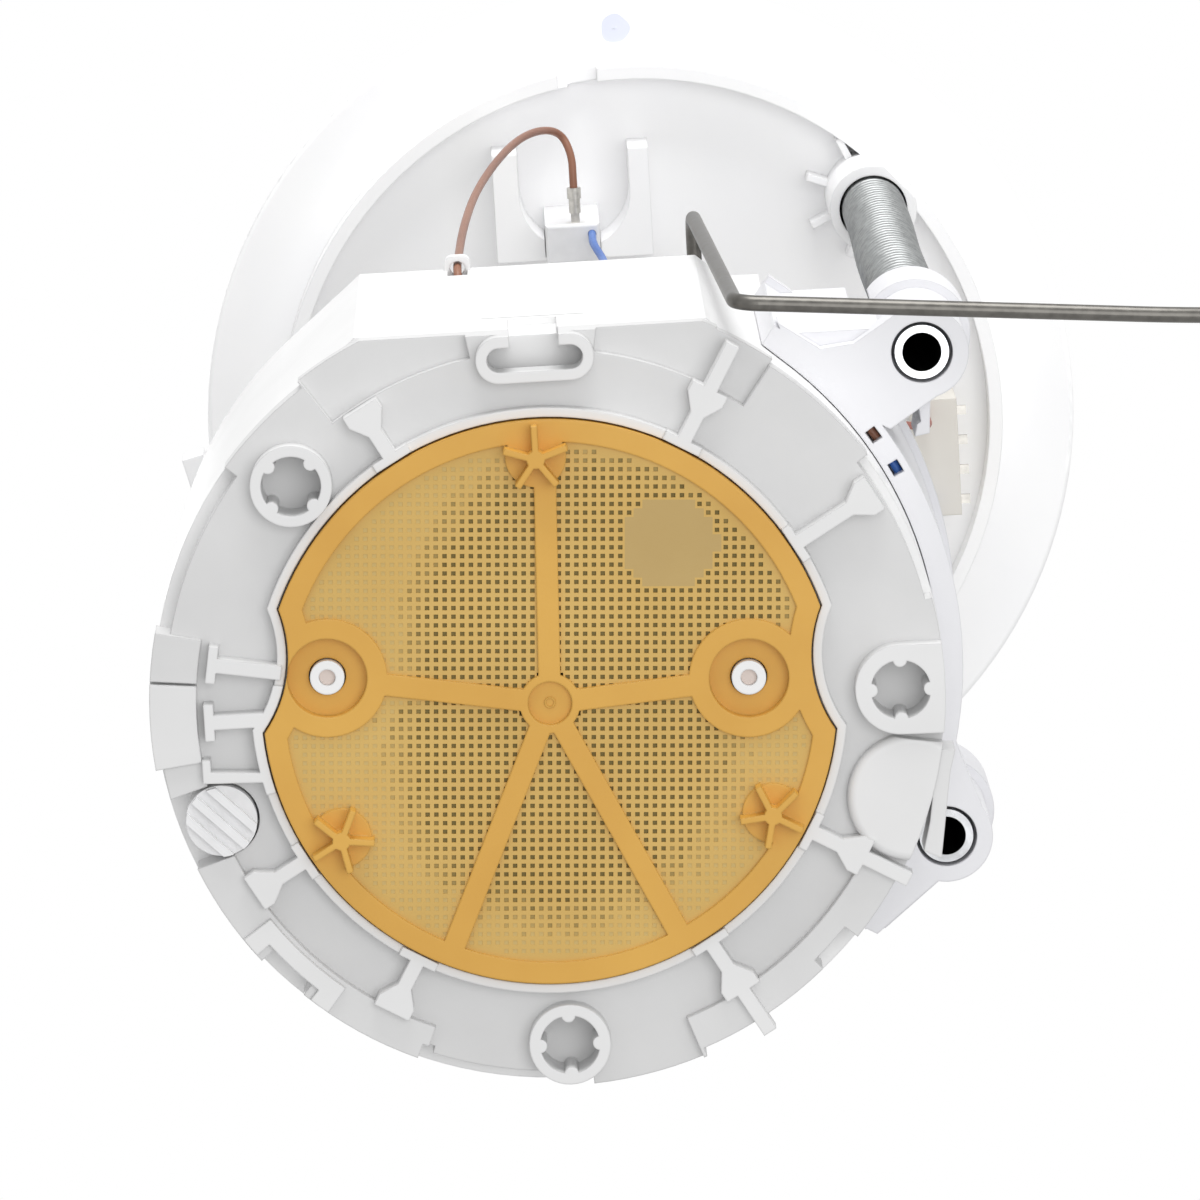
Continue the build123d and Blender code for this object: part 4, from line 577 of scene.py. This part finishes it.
for k, (y, bow) in enumerate(zip(ROD_YS, BOWS), 1):
    spring = coil_spring(f"coil_spring_{k}", y, bow)
    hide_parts(f"guide_spring_{k}")
    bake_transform(spring)


# ---------------------------------------------------------------- hose
HOSE_ROUTE = [at(-25, -2, 76), at(-25, -2, 96), at(-25, -2, 112), at(-10.5, -4, 136),
              at(4, -6, 160), at(4, -6, 180), at(4, -6, 200)]
CUFF_LENGTH, CUFF_R = 15, 5.5
HOSE_R, RIB_HEIGHT, RIB_PITCH = 5.15, 0.6, 2.6
HOSE_STEPS, HOSE_SIDES = 60, 24


def corrugated_hose():
    """Nylon hose: smooth cuffs on the barbs and even ribs between them."""
    points = line_points(HOSE_ROUTE, HOSE_STEPS)
    lengths = [0.0]
    for a, b in zip(points, points[1:]):
        lengths.append(lengths[-1] + (b - a).length)
    total = lengths[-1]
    stations = []
    for (centre, side, up), s in zip(frames(points), lengths):
        edge = min(s, total - s) * 1000
        if edge < CUFF_LENGTH:
            radius = CUFF_R
        else:
            radius = HOSE_R + RIB_HEIGHT * math.cos(2 * math.pi * (edge - CUFF_LENGTH) / RIB_PITCH)
        stations.append((centre, side, up, radius / 1000))
    return rings("corrugated_hose", stations, HOSE_WHITE, HOSE_SIDES)


hose = corrugated_hose()
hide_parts("outlet_hose")
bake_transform(hose)

# ---------------------------------------------------------------- leads
LEAD_R, LEAD_SIDES = 0.65, 12
# Each lead's look, a high and a low height, and its route from one end to the other.
LEADS = {
    "lead_brown": (BROWN, 170.0, 80.0, [
        (-4.0, -4.0, 66.8), (-4.0, -4.0, 70.6), (-5.0, -16.0, 70.0), (-8.0, -32.0, 68.8),
        (-10.4, -47.0, 68.8), (-10.4, -52.0, 68.9), (-10.4, -54.2, 70.6), (-10.4, -54.4, 76.0),
        (-9.4, -56.3, 105.0), (-7.0, -58.4, 135.0), (-1.9, -60.7, 165.0), (2.6, -61.2, 180.0),
        (6.6, -59.8, 187.6), (8.3, -56.2, 185.2), (8.3, -52.2, 184.0), (8.3, -48.4, 184.0)]),
    "lead_blue": (BLUE, 170.0, 116.0, [
        (10.9, -43.2, 185.0), (10.9, -43.2, 178.0), (10.9, -43.2, 170.0), (12.6, -42.6, 152.0),
        (12.0, -45.2, 130.0), (14.4, -40.2, 110.0), (14.4, -40.2, 104.0), (14.4, -40.2, 101.4)]),
    "lead_supply": (RED_BROWN, 170.0, 84.0, [
        (64.5, -9.0, 189.5), (64.5, -9.0, 183.0), (64.5, -9.0, 174.0), (56.0, -14.0, 150.0),
        (40.0, -14.0, 122.0), (20.0, -12.0, 100.0), (6.0, -6.0, 86.0), (4.0, -4.0, 75.0),
        (4.0, -4.0, 70.0), (4.0, -4.0, 66.8)]),
    "lead_return": (BLUE, 170.0, 118.0, [
        (64.5, 6.0, 189.5), (64.5, 6.0, 183.0), (64.5, 6.0, 174.0), (58.0, 10.0, 150.0),
        (46.0, 0.0, 128.0), (40.0, -24.0, 122.0), (37.6, -40.2, 114.0), (37.6, -40.2, 106.0),
        (37.6, -40.2, 101.4)]),
}
for name, (look, high, low, route) in LEADS.items():
    points = line_points([at(*place) for place in route])
    wire = round_wire(f"{name}_wire", points, LEAD_R / 1000, look, LEAD_SIDES)
    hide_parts(name)
    x, y = route[len(route) // 2][:2]
    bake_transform(wire)


# ---------------------------------------------------------------- paint mark on the flange
def dab(name, x, y, z, radius, thick, look, seed):
    """Slightly uneven paint dab, domed below the flange and riding on it."""
    rows, count = 4, 28
    verts, faces = [], []
    for row in range(rows + 1):
        share = row / rows
        for k in range(count):
            turn = 2 * math.pi * k / count
            wave = 1 + 0.05 * math.sin(3 * turn + seed) + 0.03 * math.sin(5 * turn + 2 * seed)
            r = radius * wave * (1 - share * 0.98)
            drop = thick * math.sqrt(share)
            verts.append(at(x + r * math.cos(turn), y + r * math.sin(turn), z - drop))
    for row in range(rows):
        for k in range(count):
            m = (k + 1) % count
            faces.append((row * count + k, (row + 1) * count + k, (row + 1) * count + m,
                          row * count + m))
    faces.append(tuple(range(rows * count, (rows + 1) * count)))
    faces.append(tuple(reversed(range(count))))
    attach(add(name, verts, faces, look), "flange")


dab("paint_mark", 16.8, -74.0, SEAT_Z, 2.4, 0.15, PAINT, 1.0)

# ---------------------------------------------------------------- floor, light and camera
CAMERA_AT = at(3.81056, -235.95111, -1227.63508)
RIGHT = Vector((0.99830012, 0.05665145, -0.01369239))
DOWN = Vector((-0.05818143, 0.98251485, -0.17686008))
AHEAD = Vector((0.0034336, 0.17735608, 0.98414076))
FOCAL_PIXELS, FRAME_PIXELS, SENSOR_WIDTH = 8625.0, 1200.0, 36.0

camera = bpy.data.cameras.new("camera")
camera.sensor_width = SENSOR_WIDTH
camera.lens = FOCAL_PIXELS / FRAME_PIXELS * SENSOR_WIDTH
camera.clip_end = 20.0
eye = bpy.data.objects.new("camera", camera)
bpy.context.scene.collection.objects.link(eye)
eye.matrix_world = Matrix((
    (RIGHT.x, -DOWN.x, -AHEAD.x, CAMERA_AT.x),
    (RIGHT.y, -DOWN.y, -AHEAD.y, CAMERA_AT.y),
    (RIGHT.z, -DOWN.z, -AHEAD.z, CAMERA_AT.z),
    (0, 0, 0, 1)))
bpy.context.scene.camera = eye


MIDDLE = Vector((0.0, 0.0, -0.10))


def lamp(name, place, size, power):
    """Round soft lamp that faces the middle of the module."""
    light = bpy.data.lights.new(name, "AREA")
    light.shape = "DISK"
    light.size = size
    light.energy = power
    obj = bpy.data.objects.new(name, light)
    bpy.context.scene.collection.objects.link(obj)
    obj.location = place
    obj.rotation_euler = (MIDDLE - Vector(place)).to_track_quat("-Z", "Y").to_euler()


lamp("lamp_sender_side", (0.1, -1.3, -0.25), 0.9, 12.5)
lamp("lamp_below", (0.35, -0.25, -1.5), 1.1, 7)
lamp("lamp_above", (-0.5, 0.5, 1.2), 1.0, 5)


def floor_look():
    """Pale floor that shows only from above, so that the module can be seen from below."""
    mat, nodes, links, bsdf = principled("floor_pale")
    grain = noise(nodes, links, 30, 2)
    tint = ramp(nodes, links, grain.outputs["Fac"], 0.2, 0.8,
                (srgb(240, 240, 240), srgb(244, 244, 244)))
    links.new(tint.outputs["Color"], bsdf.inputs["Base Color"])
    bsdf.inputs["Roughness"].default_value = 0.7
    side = nodes.new("ShaderNodeNewGeometry")
    through = nodes.new("ShaderNodeBsdfTransparent")
    mix = nodes.new("ShaderNodeMixShader")
    links.new(side.outputs["Backfacing"], mix.inputs["Fac"])
    links.new(bsdf.outputs["BSDF"], mix.inputs[1])
    links.new(through.outputs["BSDF"], mix.inputs[2])
    links.new(mix.outputs["Shader"], nodes["Material Output"].inputs["Surface"])
    return mat


FLOOR_HALF, FLOOR_GAP = 2.5, 0.0002
floor_z = CAD_BOX[0][2] - FLOOR_GAP
floor_corners = [(FLOOR_HALF * a, FLOOR_HALF * b, floor_z)
                 for a, b in ((-1, -1), (1, -1), (1, 1), (-1, 1))]
floor = add("floor", floor_corners, [(0, 1, 2, 3)], floor_look(), smooth=False)
floor.visible_shadow = False
floor.visible_diffuse = False
floor.visible_glossy = False
floor.visible_transmission = False

# What lights the module, and the white that the camera, metal and clear plastic see.
WORLD_LIGHT, WORLD_SEEN = 0.62, 1.0


def studio_world():
    """White surroundings, softer as a light than as what is seen."""
    world = bpy.data.worlds.new("studio")
    bpy.context.scene.world = world
    world.use_nodes = True
    nodes, links = world.node_tree.nodes, world.node_tree.links
    back = nodes["Background"]
    back.inputs["Color"].default_value = (1, 1, 1, 1)
    path = nodes.new("ShaderNodeLightPath")
    seen = path.outputs["Is Camera Ray"]
    for ray in ("Is Transmission Ray", "Is Glossy Ray"):
        either = nodes.new("ShaderNodeMath")
        either.operation = "MAXIMUM"
        links.new(seen, either.inputs[0])
        links.new(path.outputs[ray], either.inputs[1])
        seen = either.outputs["Value"]
    links.new(span(nodes, links, seen, WORLD_LIGHT, WORLD_SEEN), back.inputs["Strength"])


studio_world()

bpy.context.scene.view_settings.view_transform = "Standard"
